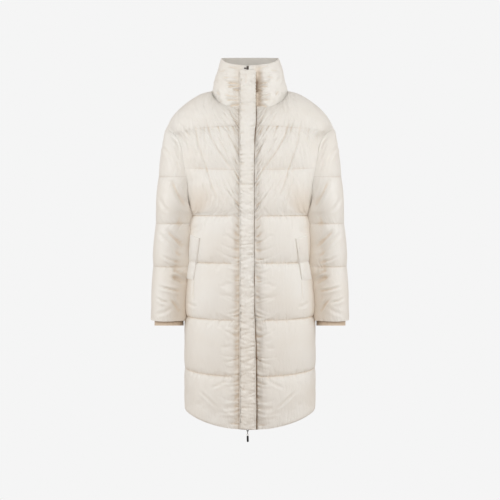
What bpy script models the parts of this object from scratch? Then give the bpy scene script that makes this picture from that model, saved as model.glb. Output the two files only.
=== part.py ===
"""Long quilted coat, filled out as it is worn: a hollow body and two hollow sleeves of padded cloth.

Metres, +Z up, the front faces -Y and the wearer's left is +X. The origin is the middle of the neck
opening at the height of the shoulder seams' inner ends, where a neck carries the coat.
Every cloth piece is a wall: a plain inside, and an outside raised into a puff between quilting lines.
"""

import math
from collections import namedtuple

import bpy
import bmesh
import numpy as np
from mathutils import Matrix, Vector
from mathutils.bvhtree import BVHTree

# Cloth and seams
WALL = 0.003  # shell, thin padding and lining where they are stitched together
GAP = 0.0003  # between neighbouring pieces
PUFF = 0.0100  # height of a front or back puff over the stitched level
PUFF_POWER = 0.62  # under 1 makes a puff rise steeply from its stitching
ROUND = 2.35  # roundness of the body's sections, 2 being an ellipse

# Neck, collar and centre front
NECK_WIDTH = 0.109  # half of the neck seam, side to side
NECK_FRONT, NECK_BACK = 0.092, 0.084  # its depth before and behind the origin
NECK_DROP, NECK_RISE = 0.059, 0.020  # how far it falls in front and rises behind
TOP_WIDTH, TOP_FRONT, TOP_BACK = 0.0805, 0.080, 0.066  # the collar's top edge
TOP_HEIGHT, TOP_DROP, TOP_RISE = 0.092, 0.030, 0.0085
COLLAR_PUFF, COLLAR_PINCH = 0.0038, 0.0038  # the pinch is beside the front edges, halfway up
CENTRE = -0.0066  # the zip stands a little to the wearer's right
SLOT = 0.0035  # from the zip's middle to either front edge
CHAIN, CHAIN_SUNK = 0.0032, 0.0004  # half of the zip chain's width, and how deep its face lies
TAPE = 0.0120  # the tape reaches this far from the zip's middle
TAPE_BEND = 0.0015  # its edges lie this much deeper, as the front curves away
TAPE_THICK = 0.0010

# Storm flap
FLAP_LEFT, FLAP_RIGHT = -0.0295, 0.0150  # stitched edge and free edge
FLAP_TOP, FLAP_JOIN = 0.052, -0.0403
FLAP_BOTTOM = 6.985  # as a place among the quilting lines: just above the hem
FLAP_THICK, FLAP_EDGE = 0.0058, 0.0032  # middle and edges
FLAP_SEAT, FLAP_STAND = 0.0006, 0.0022  # clearance at its stitched and free edges
FLAP_STAND_COLLAR = 0.0065
FLAP_REACH = 0.003  # it clears what lies this far above and below each of its rows
# its rows over the neck seam
NECK_CLOSE = (-0.092, -0.084, -0.077, -0.071, -0.065, -0.059, -0.054, -0.047)

# Quilting lines, counted down from the neck and shoulder seams: height at the centre and at the side
Line = namedtuple("Line", "channel centre side")
LINES = [
    Line(1, -0.107, -0.122),
    Line(2, -0.229, -0.229),
    Line(3, -0.357, -0.357),
    Line(4, -0.488, -0.490),
    Line(5, -0.647, -0.646),
    Line(6, -0.804, -0.797),
    Line(7, -0.952, -0.915),
]
UNDERARM = 3  # the line that starts at the underarm
HEM = 7

# Body sections at the stitched level: half width below the underarm, depth in front and behind
Section = namedtuple("Section", "height width front back")
SECTIONS = [
    Section(0.020, 0.109, 0.080, 0.084),
    Section(-0.060, 0.200, 0.093, 0.124),
    Section(-0.107, 0.232, 0.110, 0.136),
    Section(-0.160, 0.224, 0.122, 0.142),
    Section(-0.229, 0.214, 0.134, 0.145),
    Section(-0.300, 0.192, 0.143, 0.146),
    Section(-0.357, 0.1710, 0.148, 0.145),
    Section(-0.450, 0.1722, 0.150, 0.145),
    Section(-0.550, 0.1770, 0.152, 0.147),
    Section(-0.647, 0.1840, 0.153, 0.149),
    Section(-0.720, 0.1868, 0.155, 0.152),
    Section(-0.800, 0.1875, 0.157, 0.154),
    Section(-0.952, 0.1885, 0.158, 0.156),
]

# Shoulder seam from the neck to the sleeve head
Ridge = namedtuple("Ridge", "along x height")
SHOULDER = [
    Ridge(0.00, 0.1090, 0.0000),
    Ridge(0.15, 0.1335, -0.0065),
    Ridge(0.33, 0.1600, -0.0195),
    Ridge(0.63, 0.2015, -0.0500),
    Ridge(0.83, 0.2250, -0.0760),
    Ridge(1.00, 0.2400, -0.1040),
]

# Sleeve sections: middle, outermost x, half depth, angle from the outside to the armhole seam,
# forward bend, and the outward direction of the armhole seam
Arm = namedtuple("Arm", "height middle outer depth seam forward out_x out_y out_z")
ARMS = [
    Arm(-0.104, 0.2380, 0.2400, 0.0040, 0, 0, 0.70, 0.00, 0.70),
    Arm(-0.108, 0.2290, 0.2415, 0.0140, 40, 0, 0.68, 0.30, 0.62),
    Arm(-0.115, 0.2200, 0.2440, 0.0270, 62, 0, 0.64, 0.55, 0.45),
    Arm(-0.122, 0.2105, 0.2455, 0.0400, 72, 0, 0.58, 0.72, 0.34),
    Arm(-0.138, 0.1965, 0.2475, 0.0590, 81, 0, 0.50, 0.83, 0.18),
    Arm(-0.165, 0.1905, 0.2525, 0.0760, 87, 0, 0.42, 0.90, 0.06),
    Arm(-0.203, 0.1900, 0.2575, 0.0850, 92, 0, 0.35, 0.93, 0.00),
    Arm(-0.257, 0.1970, 0.2645, 0.0880, 106, 0, 0.20, 0.97, -0.10),
    Arm(-0.305, 0.2075, 0.2690, 0.0850, 122, 0, 0.08, 0.94, -0.32),
    Arm(-0.340, 0.2170, 0.2705, 0.0810, 146, 0, 0.02, 0.68, -0.72),
    Arm(-0.357, 0.2225, 0.2710, 0.0790, 180, 0, 0.00, 0.00, -1.00),
    Arm(-0.440, 0.2280, 0.2765, 0.0740, 180, -0.002, 0, 0, -1),
    Arm(-0.504, 0.2325, 0.2800, 0.0700, 180, -0.006, 0, 0, -1),
    Arm(-0.580, 0.2365, 0.2835, 0.0670, 180, -0.012, 0, 0, -1),
    Arm(-0.658, 0.2385, 0.2860, 0.0640, 180, -0.018, 0, 0, -1),
]
SLEEVE_LINES = [-0.104, -0.247, -0.380, -0.504, -0.658]
SLEEVE_PUFF_FRONT, SLEEVE_PUFF_OUTER, SLEEVE_PUFF_INNER = 0.0085, 0.0030, 0.0006

# Largest folds: ends across and up, half breadth and depth; the same on both halves
Fold = namedtuple("Fold", "piece x1 z1 x2 z2 breadth depth")
FOLDS = [
    Fold("front", 0.160, -0.080, 0.085, -0.340, 0.014, 0.0040),
    Fold("front", 0.130, -0.060, 0.040, -0.265, 0.012, 0.0030),
    Fold("front", 0.152, -0.385, 0.136, -0.410, 0.014, 0.0035),
    Fold("front", 0.150, -0.868, 0.085, -0.925, 0.018, 0.0045),
    Fold("back", 0.150, -0.090, 0.090, -0.330, 0.015, 0.0040),
    Fold("back", 0.060, -0.060, 0.045, -0.215, 0.014, 0.0030),
    Fold("back", 0.140, -0.860, 0.070, -0.920, 0.018, 0.0045),
    Fold("sleeve", 0.232, -0.255, 0.180, -0.356, 0.013, 0.0050),
    Fold("sleeve", 0.230, -0.533, 0.190, -0.556, 0.013, 0.0065),
    Fold("sleeve", 0.234, -0.392, 0.192, -0.470, 0.013, 0.0040),
]

# Pocket welts, measured round the body from the side seam
WELT_TOP, WELT_BOTTOM = -0.411, -0.537
WELT_TOP_FROM_SIDE, WELT_BOTTOM_FROM_SIDE = 0.113, 0.079  # its inner, stitched line
WELT_BREADTH, WELT_THICK, WELT_EDGE = 0.040, 0.0065, 0.0020
WELT_TOP_DROP = 0.007  # its top edge falls this much toward the stitched line
WELT_SEAT, WELT_REACH = 0.0007, 0.005  # over the highest of the front's facets this near

# Inner cuffs
CUFF_TOP, CUFF_END = -0.628, -0.6775
CUFF_WALL, CUFF_INSET, CUFF_SLANT = 0.0020, 0.0035, 0.007  # the slant lifts its front edge

# Zip sliders and the pull that hangs below the hem
SLIDER_LONG, SLIDER_DEEP = 0.0118, 0.0052
PIN = Vector((CENTRE, 0.0, -0.9557))  # its depth comes from the hem
PIN_RADIUS, EYE_HOLE, EYE_RADIUS = 0.00060, 0.00100, 0.00190
EYE_BREADTH, LUG_INNER, LUG_OUTER = 0.0024, 0.0016, 0.0029
STEM_END = -0.9635
RING_MIDDLE, RING_RADIUS, RING_WIRE = -0.96640, 0.00205, 0.00060
TAB_TOP, TAB_END = -0.9694, -0.9868
TAB_BREADTH, TAB_THICK, TAB_LEAN = 0.0056, 0.0024, 0.03

# Mesh steps
CHANNEL_STEPS = (0.0, 0.10, 0.36, 0.64, 0.90)
UNDERARM_STEPS = (0.0, 0.1406, 0.36, 0.64, 0.90)  # the second one meets a sleeve line
YOKE_STEPS = (0.0, 0.25, 0.50, 0.75)
NECK_CELLS, SHOULDER_CELLS = 5, 5
SLEEVE_CELLS = 14
COLLAR_STEPS = (0.0, 0.08, 0.28, 0.50, 0.72, 0.92, 1.0)
CELLS = NECK_CELLS + SHOULDER_CELLS

CREAM = (0.80, 0.75, 0.67)
CREAM_SHADE = (0.72, 0.66, 0.58)
DARK_METAL = (0.09, 0.075, 0.065)
PALE_METAL = (0.75, 0.74, 0.72)
BLACK = (0.012, 0.012, 0.013)


def clear_scene():
    for thing in list(bpy.data.objects):
        bpy.data.objects.remove(thing, do_unlink=True)


def material(name, colour, roughness, metallic=0.0):
    """A plain finish, made once and shared by the pieces that are cut from the same stuff."""
    if name in bpy.data.materials:
        return bpy.data.materials[name]
    made = bpy.data.materials.new(name)
    made.use_nodes = True
    shader = made.node_tree.nodes["Principled BSDF"]
    shader.inputs["Base Color"].default_value = (*colour, 1.0)
    shader.inputs["Roughness"].default_value = roughness
    shader.inputs["Metallic"].default_value = metallic
    return made


def add_object(name, mesh, finish):
    mesh.materials.append(finish)
    made = bpy.data.objects.new(name, mesh)
    bpy.context.scene.collection.objects.link(made)
    return made


# ---- smooth values from the tables ----


def smooth_curve(knots, values, at):
    """A smooth curve through a table's values that never swings past them."""
    knots, values = np.asarray(knots, float), np.asarray(values, float)
    if knots[0] > knots[-1]:
        knots, values = knots[::-1], values[::-1]
    step = np.diff(values) / np.diff(knots)
    slope = np.concatenate([step[:1], np.zeros(len(step) - 1), step[-1:]])
    same = step[:-1] * step[1:] > 0
    total = np.where(same, step[:-1] + step[1:], 1.0)
    slope[1:-1] = np.where(same, 2 * step[:-1] * step[1:] / total, 0.0)
    place = np.clip(at, knots[0], knots[-1])
    i = np.clip(np.searchsorted(knots, place) - 1, 0, len(step) - 1)
    wide = knots[i + 1] - knots[i]
    t = (place - knots[i]) / wide
    return (
        values[i] * (1 + 2 * t) * (1 - t) ** 2
        + slope[i] * wide * t * (1 - t) ** 2
        + values[i + 1] * t**2 * (3 - 2 * t)
        + slope[i + 1] * wide * t**2 * (t - 1)
    )


def column(table, name, at, against="height"):
    return smooth_curve(
        [getattr(row, against) for row in table], [getattr(row, name) for row in table], at
    )


def ease(t):
    t = np.clip(t, 0.0, 1.0)
    return t * t * (3 - 2 * t)


def puff_profile(fraction):
    """Height of a puff, 0 at its stitching and 1 in its middle."""
    return np.sin(math.pi * np.clip(fraction, 0.0, 1.0)) ** PUFF_POWER


# ---- seams that two pieces share ----


def armhole(height):
    """A point of the armhole seam's front half, and the seam's outward direction there."""
    middle, outer = column(ARMS, "middle", height), column(ARMS, "outer", height)
    angle = np.radians(column(ARMS, "seam", height))
    point = (
        middle + (outer - middle) * np.cos(angle),
        -column(ARMS, "depth", height) * np.sin(angle),
        height,
    )
    out = [column(ARMS, name, height) for name in ("out_x", "out_y", "out_z")]
    return np.array(point), np.array([out[0], -out[1], out[2]]) / np.linalg.norm(out)


def neck(angle):
    """A point of the neck seam, its outward direction, and the direction across it toward the body.

    The angle is 0 at the centre front and 180 degrees at the centre back."""
    ahead, aside = np.cos(angle), np.sin(angle)
    depth = NECK_FRONT if ahead > 1e-6 else NECK_BACK
    tilt = NECK_DROP if ahead > 1e-6 else NECK_RISE
    point = np.array([NECK_WIDTH * aside, -depth * ahead, -tilt * ahead])
    out = np.array([aside, -ahead, 0.9])
    out /= np.linalg.norm(out)
    down = np.cross((NECK_WIDTH * ahead, depth * aside, tilt * aside), out)
    return point, out, down / np.linalg.norm(down)


def shoulder(along):
    x, height = column(SHOULDER, "x", along, "along"), column(SHOULDER, "height", along, "along")
    return np.array([x, 0.0, height]), np.array([0.55, 0.0, 0.835])


def neck_angle(x_edge, share):
    """Angle of the neck seam at a share of its way from a front edge to the shoulder seam."""
    first = math.asin(x_edge / NECK_WIDTH)
    return first + (math.pi / 2 - first) * share


# ---- body ----


def section_points(width, depth, start_x, end, count):
    """Evenly spaced points of half a body section, from start_x to the end point or the side."""
    first = math.copysign(math.asin(abs(start_x / width) ** (ROUND / 2)), start_x)
    last = math.pi / 2
    if end is not None:
        last = math.atan2(abs(end[0] / width) ** (ROUND / 2), abs(end[1] / depth) ** (ROUND / 2))
    angle = np.linspace(first, last, 241)
    x = width * np.sign(angle) * np.abs(np.sin(angle)) ** (2 / ROUND)
    y = depth * np.abs(np.cos(angle)) ** (2 / ROUND)
    length = np.concatenate([[0], np.cumsum(np.hypot(np.diff(x), np.diff(y)))])
    wanted = np.linspace(0, length[-1], count + 1)
    return np.interp(wanted, length, x), np.interp(wanted, length, y)


def line_height(which, channel):
    numbers = [line.channel for line in LINES]
    return np.interp(channel, numbers, [getattr(line, which) for line in LINES])


def body_row(face, channel, start_x):
    """One row of half a body panel at the stitched level, from the centre to the side."""
    forward = -1 if face == "front" else 1
    if channel < 1:
        return yoke_row(face, channel, start_x)
    side, centre = line_height("side", channel), line_height("centre", channel)
    depth = column(SECTIONS, face, side)
    end = None
    width = column(SECTIONS, "width", side)
    if channel < UNDERARM:
        end, _ = armhole(side)
        width = end[0] / (1 - abs(end[1] / depth) ** ROUND) ** (1 / ROUND)
    x, y = section_points(width, depth, start_x, end, CELLS)
    z = side + (centre - side) * (1 - (x / x[-1]) ** 2)
    return np.stack([x, forward * y, z], axis=1)


def yoke_row(face, channel, start_x):
    """A row between the first quilting line and the neck and shoulder seams, rounded over the shoulder."""
    forward = -1 if face == "front" else 1
    low = body_row(face, 1, start_x)
    rise = 1 - channel
    share = np.linspace(0, 1, CELLS + 1)
    turn = np.radians(38 + 52 * ease(share * 1.6))
    made = low.copy()
    for i in range(CELLS + 1):
        if i <= NECK_CELLS:
            angle = neck_angle(start_x, i / NECK_CELLS)
            top = neck(angle if face == "front" else math.pi - angle)[0]
        else:
            top, _ = shoulder((i - NECK_CELLS) / SHOULDER_CELLS)
        inward = (1 - math.cos(rise * turn[i])) / (1 - math.cos(turn[i]))
        upward = math.sin(rise * turn[i]) / math.sin(turn[i])
        made[i] = (
            low[i, 0] + (top[0] - low[i, 0]) * rise,
            low[i, 1] + (top[1] - low[i, 1]) * inward,
            low[i, 2] + (top[2] - low[i, 2]) * upward,
        )
    seam, _ = armhole(made[-1, 2])
    seam[1] *= -forward
    return made + (seam - made[-1]) * share[:, None] ** 6


def arm_heights():
    """Heights of the armhole seam's points, which the body and the sleeve share."""
    top, low = ARMS[0].height, LINES[0].side
    heights = [low + (top - low) * math.sin((1 - step) * math.pi / 2) for step in YOKE_STEPS]
    heights += [line_height("side", 1 + step) for step in CHANNEL_STEPS]
    heights += [line_height("side", 2 + step) for step in UNDERARM_STEPS]
    return heights + [LINES[UNDERARM - 1].side]


def body_channels():
    rows = list(YOKE_STEPS)
    rows += [1 + step for step in CHANNEL_STEPS]
    rows += [2 + step for step in UNDERARM_STEPS]
    for line in range(UNDERARM, HEM):
        rows += [line + step for step in CHANNEL_STEPS]
    return rows + [HEM]


def body_puff(row, channel):
    """Puff height along a row: less beside the front edges and the arm, and none at a seam."""
    steps = np.linalg.norm(np.diff(row, axis=0), axis=1)
    across = np.concatenate([[0], np.cumsum(steps)])
    made = PUFF * puff_profile(channel % 1 if channel < HEM else 0) * np.ones(len(row))
    made *= 0.20 + 0.80 * ease(across / 0.050)
    left = across[-1] - across
    if channel < UNDERARM:
        made *= ease(left / 0.045)
    else:
        made *= 0.52 + 0.48 * ease(left / 0.075)
    if channel < 1:
        made *= np.linspace(1.0, 0.55, len(row)) * np.linspace(1, 0, len(row)) ** 0.35
    return made


def fold_depth(piece, points):
    """How deep the largest folds press into each point of a piece."""
    made = np.zeros(points.shape[:-1])
    x, z = np.abs(points[..., 0]), points[..., 2]
    for fold in (fold for fold in FOLDS if fold.piece == piece):
        along = np.array([fold.x2 - fold.x1, fold.z2 - fold.z1])
        length = np.linalg.norm(along)
        place = ((x - fold.x1) * along[0] + (z - fold.z1) * along[1]) / length**2
        off = ((x - fold.x1) * along[1] - (z - fold.z1) * along[0]) / length
        taper = ease((place + 0.15) / 0.3) * ease((1.15 - place) / 0.3)
        made += fold.depth * taper * np.exp(-((off / fold.breadth) ** 2))
    return made


# ---- walls ----


def surface_normals(grid, outward):
    """Unit normals of a grid of points, turned to the side that outward says."""
    down, across = np.gradient(grid, axis=0), np.gradient(grid, axis=1)
    normal = np.cross(down, across)
    size = np.linalg.norm(normal, axis=2, keepdims=True)
    return outward * normal / np.where(size > 1e-12, size, 1.0)


def wall_mesh(name, outer, inner, open_sides, tube=False):
    """A closed wall between two grids of points.

    On a tube, the first and last columns are edges down to the row open_sides, and one line below it."""
    mesh = bpy.data.meshes.new(name)
    form = bmesh.new()
    rows, columns = outer.shape[:2]
    front = [[form.verts.new(outer[r, c]) for c in range(columns)] for r in range(rows)]
    rear = [[form.verts.new(inner[r, c]) for c in range(columns)] for r in range(rows)]

    def band(line, behind):
        for i in range(len(line) - 1):
            form.faces.new((line[i], line[i + 1], behind[i + 1], behind[i]))

    for r in range(rows - 1):
        for c in range(columns - 1):
            form.faces.new((front[r][c], front[r + 1][c], front[r + 1][c + 1], front[r][c + 1]))
            form.faces.new((rear[r][c], rear[r][c + 1], rear[r + 1][c + 1], rear[r + 1][c]))
    edges = open_sides + 1 if tube else rows
    band(front[0], rear[0])
    band(front[-1][::-1], rear[-1][::-1])
    band([front[r][0] for r in range(edges)][::-1], [rear[r][0] for r in range(edges)][::-1])
    band([front[r][-1] for r in range(edges)], [rear[r][-1] for r in range(edges)])
    bmesh.ops.remove_doubles(form, verts=form.verts, dist=2e-6)
    bmesh.ops.dissolve_degenerate(form, edges=form.edges, dist=2e-6)
    bmesh.ops.recalc_face_normals(form, faces=form.faces)
    if form.calc_volume(signed=True) < 0:
        bmesh.ops.reverse_faces(form, faces=form.faces)
    bmesh.ops.triangulate(form, faces=form.faces)
    form.to_mesh(mesh)
    form.free()
    mesh.shade_smooth()
    return mesh


def seat_edge(outer, inner, index, points, outs, aside):
    """Puts an edge of a wall on the seam that it shares, half a gap to its own side of it."""
    for i, (point, out) in enumerate(zip(points, outs)):
        place = index(i)
        outer[place] = point + aside[i] * GAP / 2
        inner[place] = point + aside[i] * GAP / 2 - out * WALL


def seam_aside(points, outs, toward):
    """Unit steps across a seam, at right angles to its run and its outward direction, toward a piece."""
    run = np.gradient(points, axis=0)
    across = np.cross(run, outs)
    across /= np.maximum(np.linalg.norm(across, axis=1, keepdims=True), 1e-12)
    flip = np.sign(np.einsum("ij,ij->i", across, toward))
    return across * np.where(flip == 0, 1, flip)[:, None]


def body_grids(face, start_x):
    """Outer and inner points of half a body panel, with its edges on the seams."""
    channels = body_channels()
    base = np.array([body_row(face, channel, start_x) for channel in channels])
    forward = -1 if face == "front" else 1
    outward = surface_normals(base, -forward)
    outward[:, -1][len(arm_heights()) :] = (1, 0, 0)
    if face == "back":
        outward[:, 0] = (0, 1, 0)
    height = np.array([body_puff(row, channel) for row, channel in zip(base, channels)])
    height -= fold_depth(face, base) * ease(height / 0.004)
    outer = base + outward * height[..., None]
    inner = base - outward * WALL

    arms = [armhole(z) for z in arm_heights()]
    points = np.array([point for point, _ in arms])
    outs = np.array([out for _, out in arms])
    points[:, 1] *= -forward
    outs[:, 1] *= -forward
    outs[-1] = np.array([0.7, 0, -0.7])
    aside = seam_aside(points, outs, np.tile([-1.0, 0, -0.05], (len(points), 1)))
    aside[-1] = (-1, 0, 0)
    seat_edge(outer, inner, lambda i: (i, -1), points, outs, aside)

    neck_angles = [neck_angle(start_x, i / NECK_CELLS) for i in range(NECK_CELLS + 1)]
    necks = [neck(angle if face == "front" else math.pi - angle) for angle in neck_angles]
    slopes = [shoulder(i / SHOULDER_CELLS) for i in range(1, SHOULDER_CELLS + 1)]
    points = np.array([seam[0] for seam in necks + slopes])
    outs = np.array([seam[1] for seam in necks + slopes])
    outs[-1] = arms[0][1]
    aside = np.array([seam[2] for seam in necks] + [(0.0, forward, 0.0)] * SHOULDER_CELLS)
    aside[NECK_CELLS] += (0.0, forward, 0.0)
    aside[-1] = (-0.5, forward * 0.7, 0.5)
    seat_edge(outer, inner, lambda i: (0, i), points, outs, aside)

    sides = slice(len(arm_heights()), None)
    for grid in (outer, inner):
        grid[sides, -1, 1] += forward * GAP / 2
    return outer, inner


def front_panel(name, hand):
    """A front, from its zip edge to the side seam, the armhole, the shoulder and the neck."""
    outer, inner = body_grids("front", hand * CENTRE + SLOT)
    for grid in (outer, inner):
        grid[..., 0] *= hand
    return add_object(name, wall_mesh(name, outer, inner, 0), material("shell", CREAM, 0.42))


def back_panel(name):
    outer, inner = body_grids("back", 0.0)
    halves = []
    for grid in (outer, inner):
        other = grid[:, :0:-1].copy()
        other[..., 0] *= -1
        halves.append(np.concatenate([other, grid], axis=1))
    return add_object(name, wall_mesh(name, *halves, 0), material("shell", CREAM, 0.42))


# ---- sleeves ----


def sleeve_section(height, turns, shrink=0.0):
    """Points round a sleeve at one height; turns run from -1 at the front seam to 1 at the back seam."""
    middle, outer = column(ARMS, "middle", height), column(ARMS, "outer", height)
    depth, seam = column(ARMS, "depth", height), np.radians(column(ARMS, "seam", height))
    angle = turns * seam
    x = middle + (outer - middle - shrink) * np.cos(angle)
    y = column(ARMS, "forward", height) + (depth - shrink) * np.sin(angle)
    return np.stack([x, y, np.full_like(x, height)], axis=1)


def sleeve_heights():
    rows = arm_heights()
    underarm = rows[-1]
    for upper, lower in zip(SLEEVE_LINES[1:], SLEEVE_LINES[2:]):
        rows += [z for step in CHANNEL_STEPS if (z := upper + (lower - upper) * step) < underarm - 0.004]
    return rows + [SLEEVE_LINES[-1]]


def sleeve_puff(height, turns):
    line = np.searchsorted(-np.array(SLEEVE_LINES), -height, side="right") - 1
    if line >= len(SLEEVE_LINES) - 1:
        return np.zeros_like(turns)
    upper, lower = SLEEVE_LINES[line], SLEEVE_LINES[line + 1]
    seam = column(ARMS, "seam", height)
    angle = np.radians(turns * seam)
    tall = np.abs(np.sin(angle)) * SLEEVE_PUFF_FRONT
    flat = np.where(np.cos(angle) > 0, SLEEVE_PUFF_OUTER, SLEEVE_PUFF_INNER)
    made = puff_profile((upper - height) / (upper - lower)) * (tall + flat * np.abs(np.cos(angle)))
    if seam < 179:
        made *= ease((1 - np.abs(turns)) * seam / 38)
    return made


def sleeve(name, hand):
    """A sleeve: a cap set into the armhole, and below the underarm a tube."""
    heights = sleeve_heights()
    turns = np.linspace(-1, 1, SLEEVE_CELLS + 1)
    base = np.array([sleeve_section(z, turns) for z in heights])
    outward = surface_normals(base, 1)
    joined = (outward[:, 0] + outward[:, -1]) / 2
    underarm = len(arm_heights()) - 1
    for edge in (0, -1):
        outward[underarm + 1 :, edge] = joined[underarm + 1 :]
    outward[..., 2] *= 0.3
    outward /= np.maximum(np.linalg.norm(outward, axis=2, keepdims=True), 1e-12)
    tip = armhole(heights[1])[1]  # the row next to the sleeve head is too short to have normals of its own
    outward[1] = [(tip[0], -tip[1] * turn, tip[2]) for turn in turns]
    height = np.array([sleeve_puff(z, turns) for z in heights])
    height -= fold_depth("sleeve", base) * ease(height / 0.004)
    outer = base + outward * height[..., None]
    inner = base - outward * WALL

    arms = [armhole(z) for z in arm_heights()]
    for edge, forward in ((0, -1), (-1, 1)):
        points = np.array([point for point, _ in arms])
        outs = np.array([out for _, out in arms])
        points[:, 1] *= -forward
        outs[:, 1] *= -forward
        outs[-1] = (-0.7, 0, -0.7)
        aside = seam_aside(points, outs, np.tile([1.0, 0, -0.05], (len(points), 1)))
        aside[0], aside[-1] = (0.5, 0, -0.5), (1, 0, 0)
        seat_edge(outer, inner, lambda i, edge=edge: (i, edge), points, outs, aside)
    outer[0], inner[0] = outer[0, 0], inner[0, 0]
    for grid in (outer, inner):
        grid[..., 0] *= hand
    mesh = wall_mesh(name, outer, inner, underarm, tube=True)
    return add_object(name, mesh, material("shell", CREAM, 0.42))


def inner_cuff(name, hand):
    """The inner cuff: sewn inside the sleeve near its end, it shows a little below it."""
    turns = np.linspace(-1, 1, SLEEVE_CELLS + 1)
    rows = ((CUFF_TOP, 0.0), (CUFF_TOP - 0.006, 0.0), (CUFF_TOP - 0.018, 1.0), (CUFF_END, 1.0))
    outer, inner = [], []
    for height, inset in rows:
        sunk = WALL + GAP + 0.0004 + inset * CUFF_INSET
        place = max(height, SLEEVE_LINES[-1])
        for grid, more in ((outer, 0.0), (inner, CUFF_WALL)):
            ring = sleeve_section(place, turns, sunk + more)
            ring[:, 2] = height - (CUFF_SLANT * np.sin(turns * math.pi) if height == CUFF_END else 0)
            grid.append(ring)
    outer, inner = np.array(outer), np.array(inner)
    for grid in (outer, inner):
        grid[..., 0] *= hand
    mesh = wall_mesh(name, outer, inner, 0, tube=True)
    return add_object(name, mesh, material("cuff_lining", CREAM_SHADE, 0.6))


# ---- collar ----


def collar_point(angle, up):
    """A point of the collar at the stitched level, from the neck seam (0) to its top edge (1)."""
    low = neck(angle)[0]
    ahead = np.cos(angle)
    depth, tilt = (TOP_FRONT, TOP_DROP) if ahead > 0 else (TOP_BACK, TOP_RISE)
    top = np.array([TOP_WIDTH * np.sin(angle), -depth * ahead, TOP_HEIGHT - tilt * ahead])
    return low + (top - low) * up


def collar_angles(up):
    """Angles round the collar from the wearer's left front edge, by the back, to the right one."""
    share = np.arange(NECK_CELLS + 1) / NECK_CELLS
    narrowing = NECK_WIDTH / (NECK_WIDTH + (TOP_WIDTH - NECK_WIDTH) * up)
    left = [neck_angle((SLOT + CENTRE) * narrowing, s) for s in share]
    right = [neck_angle((SLOT - CENTRE) * narrowing, s) for s in share]
    back = [math.pi - neck_angle(0.0, s) for s in share[::-1]]
    return left + back[1:] + [2 * math.pi - angle for angle in (right + back[1:])[-2::-1]]


def collar(name):
    angles = np.array([collar_angles(up) for up in COLLAR_STEPS])
    base = np.array([[collar_point(a, up) for a in row] for row, up in zip(angles, COLLAR_STEPS)])
    outward = np.stack([np.sin(angles), -np.cos(angles), np.full_like(angles, 0.28)], axis=2)
    outward /= np.linalg.norm(outward, axis=2, keepdims=True)
    outward[:, 0, 0] = outward[:, -1, 0] = 0.0
    edge = np.minimum(np.arange(angles.shape[1]), np.arange(angles.shape[1])[::-1])
    fuller = 0.25 + 0.75 * ease(edge / 2)
    height = np.array([COLLAR_PUFF * puff_profile(up) * fuller for up in COLLAR_STEPS])
    height[COLLAR_STEPS.index(0.50)] -= COLLAR_PINCH * ease(1.2 - edge / 4)
    outer, inner = base + outward * height[..., None], base - outward * WALL
    seams = [neck(a) for a in angles[0]]
    points = np.array([seam[0] for seam in seams])
    outs = np.array([seam[1] for seam in seams])
    outs[0, 0] = outs[-1, 0] = 0.0
    aside = -np.array([seam[2] for seam in seams])
    seat_edge(outer, inner, lambda i: (0, i), points, outs, aside)
    return add_object(name, wall_mesh(name, outer, inner, 0), material("shell", CREAM, 0.42))


# ---- zip, storm flap and pockets ----


def centre_line():
    """Depth and height of the stitched level along the zip, from the hem up to the collar's top."""
    rows = [body_row("front", channel, CENTRE) for channel in body_channels()]
    line = [(row[0, 1], row[0, 2]) for row in rows][::-1]
    angle = math.asin(CENTRE / NECK_WIDTH)
    line += [tuple(collar_point(angle, up)[1:]) for up in COLLAR_STEPS[1:]]
    return line


def along_centre(height):
    line = np.array(centre_line())
    return float(np.interp(height, line[:, 1], line[:, 0]))


def zip_strip(name):
    """The closed zip: its chain fills the slot between the fronts, and its tape lies behind them."""
    behind = WALL + GAP + 0.0010
    lowest, highest = centre_line()[0][1] + SLIDER_LONG + 0.003, centre_line()[-1][1] - SLIDER_LONG
    line = [(y, z) for y, z in centre_line() if lowest < z < highest]
    line = [(along_centre(lowest), lowest), *line, (along_centre(highest), highest)]
    bent = behind + TAPE_BEND
    profile = (
        (-TAPE, bent), (-TAPE, bent + TAPE_THICK), (TAPE, bent + TAPE_THICK), (TAPE, bent),
        (CHAIN, behind), (CHAIN, CHAIN_SUNK), (-CHAIN, CHAIN_SUNK), (-CHAIN, behind),
    )
    form = bmesh.new()
    rings = [[form.verts.new((CENTRE + x, y + deep, z)) for x, deep in profile] for y, z in line]
    for low, high in zip(rings, rings[1:]):
        for i in range(len(profile)):
            j = (i + 1) % len(profile)
            form.faces.new((low[i], low[j], high[j], high[i]))
    form.faces.new(rings[0])
    form.faces.new(rings[-1][::-1])
    return finish_form(name, form, material("zip", CREAM_SHADE, 0.55))


def finish_form(name, form, finish):
    bmesh.ops.recalc_face_normals(form, faces=form.faces)
    bmesh.ops.triangulate(form, faces=form.faces)
    mesh = bpy.data.meshes.new(name)
    form.to_mesh(mesh)
    form.free()
    mesh.shade_smooth()
    mesh.set_sharp_from_angle(angle=math.radians(40))
    return add_object(name, mesh, finish)


def ray_surface(pieces):
    """A finder of the foremost point of some pieces at a place across and up."""
    trees = [bmesh_tree(piece) for piece in pieces]

    def foremost(x, z):
        hits = [tree.ray_cast(Vector((x, -1.0, z)), Vector((0, 1, 0)))[0] for tree in trees]
        return min((hit.y for hit in hits if hit), default=None)

    return foremost


def bmesh_tree(piece):
    form = bmesh.new()
    form.from_mesh(piece.data)
    tree = BVHTree.FromBMesh(form)
    form.free()
    return tree


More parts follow.
